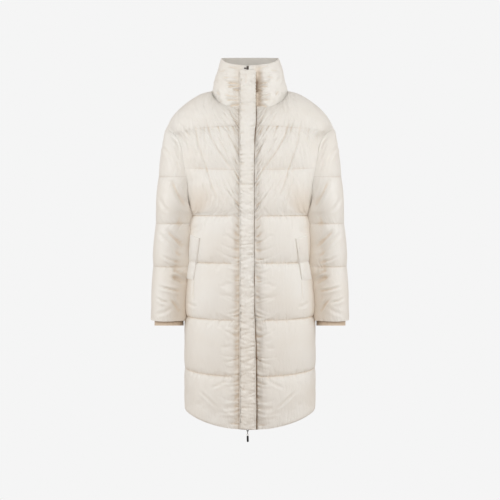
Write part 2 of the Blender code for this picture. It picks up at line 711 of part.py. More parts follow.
def flap(name, under, heights, stands, squared_top=False):
    """A padded strip on the outside of the fronts or the collar, thinner at its edges."""
    across = np.array([0.0, 0.10, 0.34, 0.66, 0.90, 1.0])
    width = FLAP_RIGHT - FLAP_LEFT
    outer, inner = [], []
    for height, stand in zip(heights, stands):
        x = FLAP_LEFT + across * width
        near = [[under(float(v), height + step) for step in (-FLAP_REACH, 0, FLAP_REACH)] for v in x]
        seat = [min((y for y in found if y is not None), default=None) for found in near]
        known = [i for i, y in enumerate(seat) if y is not None]
        seat = np.interp(x, x[known], [seat[i] for i in known])
        chord = np.minimum(seat, np.interp(x, [x[0], x[-1]], [seat[0], seat[-1]]))
        rear = chord - FLAP_SEAT - (stand - FLAP_SEAT) * ease(across)
        thick = FLAP_EDGE + (FLAP_THICK - FLAP_EDGE) * np.sin(math.pi * across) ** 0.5
        level = np.full_like(x, height)
        inner.append(np.stack([x, rear, level], axis=1))
        outer.append(np.stack([x, rear - thick, level], axis=1))
    outer, inner = np.array(outer), np.array(inner)
    if squared_top:
        outer[0, -1, 2] -= 0.004
        inner[0, -1, 2] -= 0.004
    return add_object(name, wall_mesh(name, outer, inner, 0), material("shell", CREAM, 0.42))


def storm_flap(fronts, collar_piece):
    """The storm flap is stitched to the wearer's right front and covers the zip; a cross seam parts it."""
    under = ray_surface([*fronts, collar_piece])
    line = centre_line()
    low = line_height("centre", FLAP_BOTTOM)
    below = [z for _, z in line if low + 0.004 < z < NECK_CLOSE[0]]
    below = [low, *below, *NECK_CLOSE, FLAP_JOIN - GAP / 2]
    stands = [FLAP_STAND + (FLAP_STAND_COLLAR - FLAP_STAND) * ease((z + 0.11) / 0.07) for z in below]
    flap("storm_flap", under, below[::-1], stands[::-1])
    above = [z for _, z in line if FLAP_JOIN + 0.006 < z < FLAP_TOP - 0.006]
    above = [FLAP_JOIN + GAP / 2, *above, FLAP_TOP]
    flap("storm_flap_collar", under, above[::-1], [FLAP_STAND_COLLAR] * len(above), squared_top=True)


def round_body_point(height, from_side):
    """A point of the front at the stitched level, measured round the body from the side seam."""
    width, depth = column(SECTIONS, "width", height), column(SECTIONS, "front", height)
    x, y = section_points(width, depth, 0.0, None, 200)
    length = np.concatenate([[0], np.cumsum(np.hypot(np.diff(x), np.diff(y)))])
    wanted = length[-1] - from_side
    return np.array([np.interp(wanted, length, x), -np.interp(wanted, length, y), height])


def pocket_welt(name, hand, front):
    """A padded welt, stitched along its inner slanting line and open at its outer edge."""
    tree = bmesh_tree(front)
    rows, columns = 11, 4
    outer = np.zeros((rows + 1, columns + 1, 3))
    inner = outer.copy()
    for r in range(rows + 1):
        down = r / rows
        height = WELT_TOP + (WELT_BOTTOM - WELT_TOP) * down
        inner_line = WELT_TOP_FROM_SIDE + (WELT_BOTTOM_FROM_SIDE - WELT_TOP_FROM_SIDE) * down
        for c in range(columns + 1):
            across = c / columns
            lower = WELT_TOP_DROP * (1 - across) * (1 - down)
            place = Vector(round_body_point(height - lower, inner_line - WELT_BREADTH * across))
            place.x *= hand
            axis = Vector((place.x, place.y, 0)).normalized()
            starts = [place + axis * 0.06 + Vector((0, 0, step)) for step in (-WELT_REACH, 0, WELT_REACH)]
            near = [tree.ray_cast(start, -axis)[0] for start in starts]
            hit = place + axis * max((found - place).dot(axis) for found in near)
            swell = math.sin(math.pi * min(max(down, 0.04), 0.96)) ** 0.4
            swell *= 0.45 + 0.55 * math.sin(math.pi * (0.1 + 0.8 * across))
            inner[r, c] = hit + axis * WELT_SEAT
            outer[r, c] = hit + axis * (WELT_SEAT + WELT_EDGE + (WELT_THICK - WELT_EDGE) * swell)
    return add_object(name, wall_mesh(name, outer, inner, 0), material("shell", CREAM, 0.42))


def joined(name, forms, holes, finish):
    """One solid from overlapping forms, less some holes."""
    base = add_object(name, forms[0], finish)
    steps = [(form, "UNION") for form in forms[1:]] + [(hole, "DIFFERENCE") for hole in holes]
    for i, (mesh, operation) in enumerate(steps):
        helper = bpy.data.objects.new(f"{name}_helper_{i}", mesh)
        bpy.context.scene.collection.objects.link(helper)
        helper.hide_render = True
        helper.display_type = "WIRE"
        cut = base.modifiers.new(operation.lower(), "BOOLEAN")
        cut.operation = operation
        cut.object = helper
    return base


def block(size, middle, bevel=0.0):
    form = bmesh.new()
    bmesh.ops.create_cube(form, size=1.0)
    bmesh.ops.scale(form, vec=size, verts=form.verts)
    if bevel:
        bmesh.ops.bevel(
            form, geom=form.edges, offset=bevel, segments=1, affect="EDGES", profile=0.5, material=-1
        )
    bmesh.ops.translate(form, vec=middle, verts=form.verts)
    return mesh_of(form)


def barrel(radius, length, middle, sides=12):
    """A cylinder along X."""
    form = bmesh.new()
    bmesh.ops.create_cone(
        form, cap_ends=True, segments=sides, radius1=radius, radius2=radius, depth=length,
        matrix=Matrix.Translation(middle) @ Matrix.Rotation(math.pi / 2, 4, "Y"),
    )
    return mesh_of(form)


def mesh_of(form):
    mesh = bpy.data.meshes.new("form")
    form.to_mesh(mesh)
    form.free()
    return mesh


def sliders_and_pull():
    """A slider at each end of the two-way zip, and the swinging pull of the lower one."""
    metal = material("slider_metal", DARK_METAL, 0.35, 0.9)
    width = 2 * CHAIN
    low = centre_line()[0][1]
    middle = low + SLIDER_LONG / 2 + 0.0027
    deep = along_centre(middle)
    pin = PIN.copy()
    pin.y = along_centre(low) + 0.0018
    seat = Vector((CENTRE, deep + SLIDER_DEEP / 2 - 0.0006, middle))
    forms = [block((width, SLIDER_DEEP, SLIDER_LONG), seat, 0.0008)]
    lug_top = middle - SLIDER_LONG / 2 + 0.002
    for side in (-1, 1):
        lug = Vector((CENTRE + side * (LUG_INNER + LUG_OUTER) / 2, pin.y, (lug_top + pin.z) / 2))
        forms.append(block((LUG_OUTER - LUG_INNER, 0.0026, lug_top - pin.z), lug))
        forms.append(barrel(0.0015, LUG_OUTER - LUG_INNER - 0.0002, (lug.x, pin.y, pin.z)))
    forms.append(barrel(PIN_RADIUS, LUG_INNER + LUG_OUTER, pin))
    joined("slider_bottom", forms, [], metal)

    stem_top = pin.z - EYE_HOLE - 0.0004
    stem = block((0.0020, 0.0014, stem_top - STEM_END), (pin.x, pin.y, (stem_top + STEM_END) / 2))
    link = joined(
        "pull_link",
        [barrel(EYE_RADIUS, EYE_BREADTH, pin), stem],
        [barrel(EYE_HOLE, EYE_BREADTH * 2, pin)],
        metal,
    )

    form = bmesh.new()
    circle = bmesh.ops.create_circle(form, segments=8, radius=RING_WIRE)["verts"]
    turn = Matrix.Translation((RING_RADIUS, 0, 0)) @ Matrix.Rotation(math.pi / 2, 4, "X")
    bmesh.ops.transform(form, matrix=turn, verts=circle)
    bmesh.ops.spin(
        form, geom=form.edges[:], cent=(0, 0, 0), axis=(0, 0, 1),
        angle=2 * math.pi, steps=16, use_merge=True,
    )
    bmesh.ops.remove_doubles(form, verts=form.verts, dist=1e-6)
    bmesh.ops.rotate(form, matrix=Matrix.Rotation(math.pi / 2, 3, "X"), verts=form.verts)
    bmesh.ops.translate(form, vec=(pin.x, pin.y, RING_MIDDLE), verts=form.verts)
    ring = finish_form("pull_ring", form, material("ring_metal", PALE_METAL, 0.25, 0.9))

    form = bmesh.new()
    bmesh.ops.create_cube(form, size=1.0)
    bmesh.ops.scale(form, vec=(TAB_BREADTH, TAB_THICK, TAB_TOP - TAB_END), verts=form.verts)
    upright = [e for e in form.edges if abs(e.verts[0].co.y - e.verts[1].co.y) > TAB_THICK / 2]
    bmesh.ops.bevel(
        form, geom=upright, offset=TAB_BREADTH * 0.42, segments=4, affect="EDGES", profile=0.5, material=-1
    )
    bmesh.ops.rotate(form, matrix=Matrix.Rotation(-TAB_LEAN, 3, "Y"), verts=form.verts)
    lean = (TAB_TOP - TAB_END) / 2 * TAB_LEAN
    bmesh.ops.translate(form, vec=(pin.x + lean, pin.y, (TAB_TOP + TAB_END) / 2), verts=form.verts)
    tab = finish_form("pull_tab", form, material("tab_rubber", BLACK, 0.5))

    hinge = bpy.data.objects.new("pull_hinge", None)
    hinge.location = pin
    bpy.context.scene.collection.objects.link(hinge)
    for piece in (link, ring, tab):
        piece.parent = hinge
        piece.matrix_parent_inverse = Matrix.Translation(-pin)

    high = centre_line()[-1][1]
    middle = high - SLIDER_LONG / 2 + GAP
    deep = along_centre(middle)
    seat = Vector((CENTRE, deep + SLIDER_DEEP / 2 - 0.0012, middle))
    tab_middle = Vector((CENTRE, along_centre(middle - 0.021) - 0.0010, middle - 0.010))
    bridge = deep - tab_middle.y
    forms = [
        block((width, SLIDER_DEEP, SLIDER_LONG), seat, 0.0008),
        block((0.0046, 0.0010, 0.022), tab_middle),
        block((0.0026, bridge, 0.003), (CENTRE, tab_middle.y + bridge / 2, middle - 0.001)),
    ]
    joined("slider_top", forms, [], metal)


def main():
    clear_scene()
    fronts = [front_panel("front_right", -1), front_panel("front_left", 1)]
    back_panel("back")
    sleeve("sleeve_right", -1)
    sleeve("sleeve_left", 1)
    inner_cuff("inner_cuff_right", -1)
    inner_cuff("inner_cuff_left", 1)
    collar_piece = collar("collar")
    zip_strip("zip")
    storm_flap(fronts, collar_piece)
    pocket_welt("pocket_welt_right", -1, fronts[0])
    pocket_welt("pocket_welt_left", 1, fronts[1])
    sliders_and_pull()


main()
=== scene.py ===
import math
from collections import namedtuple

import bmesh
import bpy
import numpy as np
from mathutils import Matrix, Vector
from mathutils.bvhtree import BVHTree


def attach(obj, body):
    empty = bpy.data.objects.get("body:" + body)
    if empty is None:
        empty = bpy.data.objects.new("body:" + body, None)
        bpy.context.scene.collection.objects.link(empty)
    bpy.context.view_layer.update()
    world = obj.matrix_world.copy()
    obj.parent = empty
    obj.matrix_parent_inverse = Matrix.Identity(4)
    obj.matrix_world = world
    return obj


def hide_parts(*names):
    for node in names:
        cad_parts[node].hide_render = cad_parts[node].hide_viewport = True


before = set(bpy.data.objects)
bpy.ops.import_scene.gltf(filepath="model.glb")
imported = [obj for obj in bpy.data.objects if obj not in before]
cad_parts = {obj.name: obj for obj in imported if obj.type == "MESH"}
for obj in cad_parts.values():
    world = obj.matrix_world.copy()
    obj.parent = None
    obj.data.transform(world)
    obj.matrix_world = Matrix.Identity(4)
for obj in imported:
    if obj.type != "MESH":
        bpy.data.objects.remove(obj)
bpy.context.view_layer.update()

# ---- Studio ----
# A coat held up at its neck before a pale seamless backdrop. One large softbox hangs above and in front, and
# one stands on each side. Less light comes back from the floor than from the room.
BACKDROP = (0.913, 0.913, 0.913)
ROOM_LIGHT = (0.615, 0.563, 0.520)
CEILING_LIGHT = (0.49, 0.425, 0.37)
FLOOR_LIGHT = (0.53, 0.45, 0.38)
BOX_TINT = (0.930, 0.978, 1.0)
CAMERA_AT = (0.0, -3.2, -0.285)
CAMERA_TILT = math.radians(90 - 3.1137)
CAMERA_SENSOR, CAMERA_LENS = 36, 79.416
FLOOR_AT = -1.43  # the neck opening of a standing figure is this far above the floor
FLOOR_SIZE = 60.0
Softbox = namedtuple("Softbox", "name power width height place aim")
SOFTBOXES = [
    Softbox("front_box", 22.5, 2.4, 1.1, (0.0, -2.5, 0.75), (0.0, 0.0, -0.30)),
    Softbox("left_box", 24, 1.4, 2.2, (-2.5, -0.9, 0.20), (0.0, 0.0, -0.40)),
    Softbox("right_box", 24, 1.4, 2.2, (2.5, -0.9, 0.20), (0.0, 0.0, -0.40)),
]


def placed(name, data):
    made = bpy.data.objects.new(name, data)
    bpy.context.scene.collection.objects.link(made)
    return made


def meshed(name, form):
    """The mesh of a bmesh, which is freed."""
    mesh = bpy.data.meshes.new(name)
    form.to_mesh(mesh)
    form.free()
    return mesh


def new_material(title):
    made = bpy.data.materials.new(title)
    made.use_nodes = True
    return made, made.node_tree, made.node_tree.nodes["Principled BSDF"]


def feed(tree, node, inputs):
    """Gives a node's inputs, by name or number, their values or the sockets that feed them."""
    for name, value in inputs.items():
        if isinstance(value, bpy.types.NodeSocket):
            tree.links.new(value, node.inputs[name])
        else:
            node.inputs[name].default_value = value


def new_node(tree, kind, inputs=None, **settings):
    made = tree.nodes.new("ShaderNode" + kind)
    for name, value in settings.items():
        setattr(made, name, value)
    feed(tree, made, inputs or {})
    return made


def mixed(tree, factor, first, second):
    """A tone from first to second by a factor; either tone is a colour or a socket."""
    tones = [(*tone, 1) if isinstance(tone, tuple) else tone for tone in (first, second)]
    inputs = {"Factor": factor, 6: tones[0], 7: tones[1]}
    return new_node(tree, "Mix", inputs, data_type="RGBA").outputs[2]


camera = placed("camera", bpy.data.cameras.new("camera"))
camera.data.sensor_width = CAMERA_SENSOR
camera.data.lens = CAMERA_LENS
camera.location = CAMERA_AT
camera.rotation_euler = (CAMERA_TILT, 0, 0)
bpy.context.scene.camera = camera
bpy.context.scene.view_settings.view_transform = "Standard"

for box in SOFTBOXES:
    lamp = placed(box.name, bpy.data.lights.new(box.name, "AREA"))
    lamp.data.shape = "RECTANGLE"
    lamp.data.energy = box.power
    lamp.data.color = BOX_TINT
    lamp.data.size, lamp.data.size_y = box.width, box.height
    lamp.location = box.place
    lamp.rotation_euler = (Vector(box.aim) - Vector(box.place)).to_track_quat("-Z", "Y").to_euler()

room = bpy.data.worlds.new("room")
bpy.context.scene.world = room
room.use_nodes = True
direction = new_node(room.node_tree, "TexCoord").outputs["Generated"]
parts = new_node(room.node_tree, "SeparateXYZ", {0: direction})
room_light = mixed(room.node_tree, parts.outputs["Z"], ROOM_LIGHT, CEILING_LIGHT)
pale_floor, floor_tree, shader = new_material("pale_floor")
feed(floor_tree, shader, {"Base Color": (0, 0, 0, 1), "Roughness": 1.0, "Specular IOR Level": 0.0})
feed(floor_tree, shader, {"Emission Strength": 1.0})
for tree, given_off, shown in (
    (room.node_tree, room_light, room.node_tree.nodes["Background"].inputs["Color"]),
    (floor_tree, FLOOR_LIGHT, shader.inputs["Emission Color"]),
):
    seen = new_node(tree, "LightPath").outputs["Is Camera Ray"]
    tree.links.new(mixed(tree, seen, given_off, BACKDROP), shown)

form = bmesh.new()
bmesh.ops.create_grid(form, x_segments=1, y_segments=1, size=FLOOR_SIZE / 2)
bmesh.ops.translate(form, vec=(0, 0, FLOOR_AT), verts=form.verts)
floor = placed("floor", meshed("floor", form))
floor.data.materials.append(pale_floor)

# ---- Back ----
# One padded panel from the neck and shoulder seams to the hem, quilted across at six levels. Between the
# stitched lines its padding blows it out, and the satin-faced nylon gathers where the thread holds it in.
CREAM, CREAM_DEEP = (0.842, 0.838, 0.816), (0.830, 0.814, 0.778)
# the tone of the painted shade in tucks, hollows and other shaded places
CREAM_PAINTED_SHADE = (0.720, 0.590, 0.450)
# the dark of the stitched seams, and of the painted shadow beside the storm flap and in the collar
SEAM_AND_SHADOW_DARK = (0.200, 0.120, 0.060)
CREAMS = (CREAM, CREAM_DEEP, CREAM_PAINTED_SHADE, SEAM_AND_SHADOW_DARK)
PAINTED_SHADE_TONE, SEAM_AND_SHADOW_TONE, SEAM_AND_SHADOW_POWER = 0.64, 0.22, 4.0  # how strongly the painted shade in tucks, and the seams with their painted shadows, take their tones
# painted shade that the inside of every padded piece takes at least
INSIDE_SHADE = 0.20
PAINTED_SHADE_DEPTH = 0.0042  # how far below its surroundings the cloth lies where its painted shade is deepest
WEAVE_PITCH, THREAD_HIGH, PUCKER_HIGH = 0.0009, 0.00003, 0.0040
PUCKERS_TO_METRE = (120, 26, 1)
WALL = 0.003
GAP = 0.0003
PUFF = 0.0100
PUFF_POWER = 0.62
YOKE_PUFF, YOKE_DENT = 0.95, 0.14
OPEN_PUFF = 0.55  # how full the padding still is at an open end
ROUND = 2.35
NECK_WIDTH = 0.109
NECK_FRONT, NECK_BACK = 0.092, 0.084
NECK_DROP, NECK_RISE = 0.059, 0.020
UNDERARM = 3
HEM = 7
COARSE, FINE, FINER = 0.0055, 0.0034, 0.0028  # mesh steps: as the cloth settles, and as it is finished
MERGED, SHARP = 2e-6, math.radians(55)  # points this near are one, and edges past this angle are sharp
WEIGHT_LEVELS = 20  # steps in which the cloth's weights are given
HALF_ROUND = 0.290  # from the middle of the back or front to a side seam
THIN = 0.004  # a puff lower than this takes folds and gathers more weakly
BACK_LEAST, FRONT_LEAST = 0.65, 0.26  # how full a puff still is at the back's middle and at a front edge
FRONT_RISE = (0.024, 0.034)  # how far from that edge a puff starts to rise, and over what breadth
ARM_REACH, SIDE_REACH = 0.045, 0.075  # how far in from the arm and the side seam a puff is lower
YOKE_TURNS = (38, 90)  # degrees by which the yoke rounds over, in the middle and at the shoulder's end
YOKE_PINNED, YOKE_SEWN = 0.3, 0.58  # how firmly the first line holds, and how far out it is stitched
SHOULDER_OUT = (0.55, 0.0, 0.835)
Line = namedtuple("Line", "channel centre side")
LINES = [
    Line(1, -0.107, -0.122),
    Line(2, -0.229, -0.223),
    Line(3, -0.357, -0.357),
    Line(4, -0.488, -0.490),
    Line(5, -0.647, -0.646),
    Line(6, -0.804, -0.797),
    Line(7, -0.952, -0.915),
]
CHANNEL_EDGES = [0.02, *[line.side for line in LINES]]
# By channel: how much of its settling the cloth keeps, how full a puff is at the side seam, where a sleeve
# rests there and paints shade on it, and how gathered it is all over
YOKE_LOOSE = ([0, 1, 2], [0.0, 0.35, 1.0])
SIDE_FULL = ([UNDERARM, 5, 6, HEM], [0.50, 0.42, 0.15, 0.15])
SIDE_TOUCHED = ([2.3, 2.8, 5.0, 5.2], [0, 1, 1, 0])
YOKE_GATHERED = ([0, 2, 3, 3.3], [1, 1, 0.5, 0])
Shade = namedtuple("Shade", "deep at breadth")
SIDE_SHADE = Shade(0.60, 0.040, 0.050)  # painted shade where the sleeve rests, from the side seam
Section = namedtuple("Section", "height width front back")
SECTIONS = [
    Section(0.020, 0.109, 0.080, 0.084),
    Section(-0.060, 0.200, 0.093, 0.124),
    Section(-0.107, 0.232, 0.110, 0.136),
    Section(-0.160, 0.224, 0.122, 0.142),
    Section(-0.229, 0.214, 0.134, 0.145),
    Section(-0.300, 0.192, 0.143, 0.146),
    Section(-0.357, 0.1710, 0.148, 0.145),
    Section(-0.450, 0.1722, 0.150, 0.145),
    Section(-0.550, 0.1770, 0.152, 0.147),
    Section(-0.647, 0.1872, 0.153, 0.149),
    Section(-0.720, 0.1840, 0.155, 0.152),
    Section(-0.797, 0.1885, 0.157, 0.154),
    Section(-0.865, 0.1850, 0.158, 0.155),
    Section(-0.952, 0.1885, 0.158, 0.156),
]
Ridge = namedtuple("Ridge", "along x height")
SHOULDER = [
    Ridge(0.00, 0.1090, 0.0000),
    Ridge(0.15, 0.1335, -0.0065),
    Ridge(0.33, 0.1600, -0.0195),
    Ridge(0.63, 0.2015, -0.0500),
    Ridge(0.83, 0.2250, -0.0760),
    Ridge(1.00, 0.2400, -0.1040),
]
Arm = namedtuple("Arm", "height middle outer depth seam forward out_x out_y out_z")
ARMS = [
    Arm(-0.104, 0.2380, 0.2400, 0.0040, 0, 0, 0.70, 0.00, 0.70),
    Arm(-0.108, 0.2290, 0.2415, 0.0140, 40, 0, 0.68, 0.30, 0.62),
    Arm(-0.115, 0.2200, 0.2440, 0.0270, 62, 0, 0.64, 0.55, 0.45),
    Arm(-0.122, 0.2105, 0.2455, 0.0400, 72, 0, 0.58, 0.72, 0.34),
    Arm(-0.138, 0.1965, 0.2475, 0.0590, 81, 0, 0.50, 0.83, 0.18),
    Arm(-0.165, 0.1905, 0.2525, 0.0760, 87, 0, 0.42, 0.90, 0.06),
    Arm(-0.203, 0.1900, 0.2575, 0.0850, 92, 0, 0.35, 0.93, 0.00),
    Arm(-0.257, 0.1970, 0.2645, 0.0880, 106, 0, 0.20, 0.97, -0.10),
    Arm(-0.305, 0.2075, 0.2690, 0.0850, 122, 0, 0.08, 0.94, -0.32),
    Arm(-0.340, 0.2170, 0.2705, 0.0810, 146, 0, 0.02, 0.68, -0.72),
    Arm(-0.357, 0.2225, 0.2710, 0.0790, 180, 0, 0.00, 0.00, -1.00),
    Arm(-0.440, 0.2280, 0.2765, 0.0740, 180, -0.002, 0, 0, -1),
    Arm(-0.504, 0.2325, 0.2800, 0.0700, 180, -0.006, 0, 0, -1),
    Arm(-0.580, 0.2365, 0.2835, 0.0670, 180, -0.012, 0, 0, -1),
    Arm(-0.658, 0.2385, 0.2860, 0.0640, 180, -0.018, 0, 0, -1),
]
# Spacing, depth and reach of the puckers that start at a seam
QUILT_GATHERS = (0.014, 0.0014, 0.013)
YOKE_GATHERS = (0.009, 0.0019, 0.060)
BODY_DRIFT = (((22, 26), 0.0009), ((9, 7), 0.0012))
# A trough pressed into the cloth: half breadth, depth, height of the ridge on either side, and its points
# as distance from the middle and height
Crease = namedtuple("Crease", "breadth depth ridge points")
BACK_FOLDS = [
    Crease(0.015, 0.0040, 0, [(0.150, -0.090), (0.090, -0.330)]),
    Crease(0.014, 0.0030, 0, [(0.060, -0.060), (0.045, -0.215)]),
    Crease(0.018, 0.0045, 0, [(0.140, -0.860), (0.070, -0.920)]),
]
BACK_CREASES = [
    Crease(0.0045, 0.0022, 0.0010, [(0.140, -0.075), (0.128, -0.150), (0.108, -0.240), (0.092, -0.320)]),
    Crease(0.0045, 0.0018, 0.0008, [(0.085, -0.050), (0.072, -0.130), (0.062, -0.210), (0.050, -0.300)]),
    Crease(0.0040, 0.0015, 0.0008, [(0.170, -0.105), (0.160, -0.160), (0.150, -0.215)]),
    Crease(0.0040, 0.0014, 0.0007, [(0.030, -0.020), (0.026, -0.085), (0.020, -0.150)]),
    Crease(0.0060, 0.0016, 0.0008, [(0.150, -0.395), (0.120, -0.430), (0.085, -0.450)]),
    Crease(0.0070, 0.0018, 0.0010, [(0.160, -0.690), (0.120, -0.730), (0.070, -0.745)]),
    Crease(0.0070, 0.0018, 0.0010, [(0.150, -0.850), (0.110, -0.890), (0.060, -0.915)]),
]


def smooth_curve(knots, values, at):
    """A smooth curve through a table's values that never swings past them."""
    knots, values = np.asarray(knots, float), np.asarray(values, float)
    if knots[0] > knots[-1]:
        knots, values = knots[::-1], values[::-1]
    step = np.diff(values) / np.diff(knots)
    slope = np.concatenate([step[:1], np.zeros(len(step) - 1), step[-1:]])
    same = step[:-1] * step[1:] > 0
    total = np.where(same, step[:-1] + step[1:], 1.0)
    slope[1:-1] = np.where(same, 2 * step[:-1] * step[1:] / total, 0.0)
    place = np.clip(at, knots[0], knots[-1])
    i = np.clip(np.searchsorted(knots, place) - 1, 0, len(step) - 1)
    wide = knots[i + 1] - knots[i]
    t = (place - knots[i]) / wide
    return (
        values[i] * (1 + 2 * t) * (1 - t) ** 2
        + slope[i] * wide * t * (1 - t) ** 2
        + values[i + 1] * t**2 * (3 - 2 * t)
        + slope[i + 1] * wide * t**2 * (t - 1)
    )


def column(table, name, at, against="height"):
    knots = [getattr(row, against) for row in table]
    return smooth_curve(knots, [getattr(row, name) for row in table], at)


def ease(t):
    t = np.clip(t, 0.0, 1.0)
    return t * t * (3 - 2 * t)


def fade(off, breadth, power=2):
    """1 where off is 0, falling away over about the breadth."""
    return np.exp(-((off / breadth) ** power))


def puff_profile(fraction):
    """Height of a puff, 0 at its stitching and 1 in its middle."""
    return np.sin(math.pi * np.clip(fraction, 0.0, 1.0)) ** PUFF_POWER


def unit(vectors):
    return vectors / np.maximum(np.linalg.norm(vectors, axis=-1, keepdims=True), 1e-12)


def armhole(height, forward=-1):
    """Points of the armhole seam's front or back half at some heights, and its outward direction there."""
    middle, outer = column(ARMS, "middle", height), column(ARMS, "outer", height)
    angle, depth = np.radians(column(ARMS, "seam", height)), column(ARMS, "depth", height)
    points = [middle + (outer - middle) * np.cos(angle), forward * depth * np.sin(angle), height]
    out = [column(ARMS, name, height) for name in ("out_x", "out_y", "out_z")]
    return np.stack(points, axis=-1), unit(np.stack([out[0], forward * out[1], out[2]], axis=-1))


def neck(angle):
    """Points of the neck seam, their outward direction, and the direction across it toward the body.

    The angle is 0 at the centre front and 180 degrees at the centre back."""
    ahead, aside = np.cos(angle), np.sin(angle)
    depth = np.where(ahead > 1e-6, NECK_FRONT, NECK_BACK)
    tilt = np.where(ahead > 1e-6, NECK_DROP, NECK_RISE)
    points = np.stack([NECK_WIDTH * aside, -depth * ahead, -tilt * ahead], axis=-1)
    out = unit(np.stack([aside, -ahead, np.full_like(ahead, 0.9)], axis=-1))
    down = np.cross(np.stack([NECK_WIDTH * ahead, depth * aside, tilt * aside], axis=-1), out)
    return points, out, unit(down)


def neck_angle(x_edge, share):
    """Angle of the neck seam at a share of its way from a front edge to the shoulder seam."""
    first = math.asin(x_edge / NECK_WIDTH)
    return first + (math.pi / 2 - first) * share


def line_height(which, channel):
    return np.interp(channel, [line.channel for line in LINES], [getattr(line, which) for line in LINES])


def body_row(forward, channel, start_x, shares):
    """One row of half a body panel at the stitched level, from the centre to the side."""
    side, centre = line_height("side", channel), line_height("centre", channel)
    depth = column(SECTIONS, "front" if forward < 0 else "back", side)
    width, last = column(SECTIONS, "width", side), math.pi / 2
    if channel < UNDERARM:
        end = armhole(side)[0]
        width = end[0] / (1 - abs(end[1] / depth) ** ROUND) ** (1 / ROUND)
        last = math.atan2(abs(end[0] / width) ** (ROUND / 2), abs(end[1] / depth) ** (ROUND / 2))
    first = math.copysign(math.asin(abs(start_x / width) ** (ROUND / 2)), start_x)
    angle = np.linspace(first, last, 400)
    x = width * np.sign(angle) * np.abs(np.sin(angle)) ** (2 / ROUND)
    y = depth * np.abs(np.cos(angle)) ** (2 / ROUND)
    length = np.concatenate([[0], np.cumsum(np.hypot(np.diff(x), np.diff(y)))])
    x, y = np.interp(shares * length[-1], length, x), np.interp(shares * length[-1], length, y)
    return np.stack([x, forward * y, side + (centre - side) * (1 - (x / x[-1]) ** 2)], axis=-1)


def yoke_top(forward, start_x, shares):
    """The neck seam and then the shoulder seam, with their outward directions and those into the panel."""
    angle = neck_angle(start_x, np.minimum(shares * 2, 1))
    points, out, down = neck(angle if forward < 0 else math.pi - angle)
    along = np.maximum(shares * 2 - 1, 0)
    slope = [column(SHOULDER, name, along, "along") for name in ("x", "height")]
    slope = np.stack([slope[0], 0 * along, slope[1]], axis=-1)
    on_slope = (shares > 0.5)[:, None]
    points = np.where(on_slope, slope, points)
    out = np.where(on_slope, unit(np.array(SHOULDER_OUT)), out)
    return points, out, np.where(on_slope, np.array([0.0, forward, 0.0]), down)


def body_base(forward, channels, start_x, shares):
    """Half a body panel at the stitched level, rounded over the shoulder above the first line."""
    low = body_row(forward, 1, start_x, shares)
    top = yoke_top(forward, start_x, shares)[0]
    turn = np.radians(YOKE_TURNS[0] + (YOKE_TURNS[1] - YOKE_TURNS[0]) * ease(shares * 1.6))
    rows = []
    for channel in channels:
        if channel >= 1:
            rows.append(body_row(forward, channel, start_x, shares))
            continue
        rise = 1 - channel
        inward = (1 - np.cos(rise * turn)) / (1 - np.cos(turn))
        upward = np.sin(rise * turn) / np.sin(turn)
        row = low + (top - low) * np.stack([np.full_like(turn, rise), inward, upward], axis=-1)
        seam = armhole(row[-1, 2], forward)[0]
        rows.append(row + (seam - row[-1]) * shares[:, None] ** 6)
    return np.array(rows)


def body_puff(across, channel, least):
    """Puff height: less beside the front edges and the arm, and none at a seam.

    The first line is stitched so lightly that the cloth above and below it swells as one."""
    left = across[:, -1:] - across
    channel = channel[:, None]
    share = np.linspace(0, 1, across.shape[1])
    dent = YOKE_DENT * fade(channel - 1, 0.07) * (1 - ease((share - 0.45) / 0.3))
    joined = YOKE_PUFF * np.sin(math.pi * np.clip(channel / 2, 0, 1)) * (1 - dent)
    made = np.where(channel < 2, joined, puff_profile(np.where(channel < HEM, channel % 1, 0)))
    made = np.where(channel > HEM - 0.5, OPEN_PUFF + (1 - OPEN_PUFF) * made, made)
    made = made * (least + (1 - least) * ease((across - FRONT_RISE[0]) / FRONT_RISE[1]))
    beside = np.interp(channel, *SIDE_FULL)
    beside = beside + (1 - beside) * ease(left / SIDE_REACH)
    made *= np.where(channel < UNDERARM, ease(left / ARM_REACH), beside)
    narrow = (1 - 0.45 * share) * (1 - share) ** 0.35 * ease(channel / 0.4)  # thinner toward the shoulder
    return PUFF * made * (narrow + (1 - narrow) * ease(channel))


def surface_normals(grid, outward):
    return outward * unit(np.cross(np.gradient(grid, axis=0), np.gradient(grid, axis=1)))


def lengths(grid, axis):
    """Distance along the rows or down the columns of a grid of points."""
    step = np.linalg.norm(np.diff(grid, axis=axis), axis=2)
    start = np.zeros_like(step[:, :1] if axis else step[:1])
    return np.concatenate([start, np.cumsum(step, axis=axis)], axis=axis)


def press(points, creases, middle=0.0):
    """How deep some creases press each point in, less the ridges beside them."""
    made = np.zeros(points.shape[:-1])
    x, z = np.abs(points[..., 0] - middle), points[..., 2]
    for crease in creases:
        knots = np.array(crease.points)
        runs = np.linalg.norm(np.diff(knots, axis=0), axis=1)
        starts = np.concatenate([[0], np.cumsum(runs)])
        near, place = np.full(x.shape, 9.0), np.zeros(x.shape)
        for knot, after, run, start in zip(knots, knots[1:], runs, starts):
            along = (after - knot) / run
            t = np.clip((x - knot[0]) * along[0] + (z - knot[1]) * along[1], 0, run)
            off = np.hypot(x - knot[0] - along[0] * t, z - knot[1] - along[1] * t)
            place = np.where(off < near, start + t, place)
            near = np.minimum(off, near)
        share = place / starts[-1]
        taper = ease(share / 0.35 + 0.10) * ease((1 - share) / 0.35 + 0.10)
        ridges = fade(near - 2.0 * crease.breadth, crease.breadth)
        made += taper * (crease.depth * fade(near, crease.breadth) - crease.ridge * ridges)
    return made


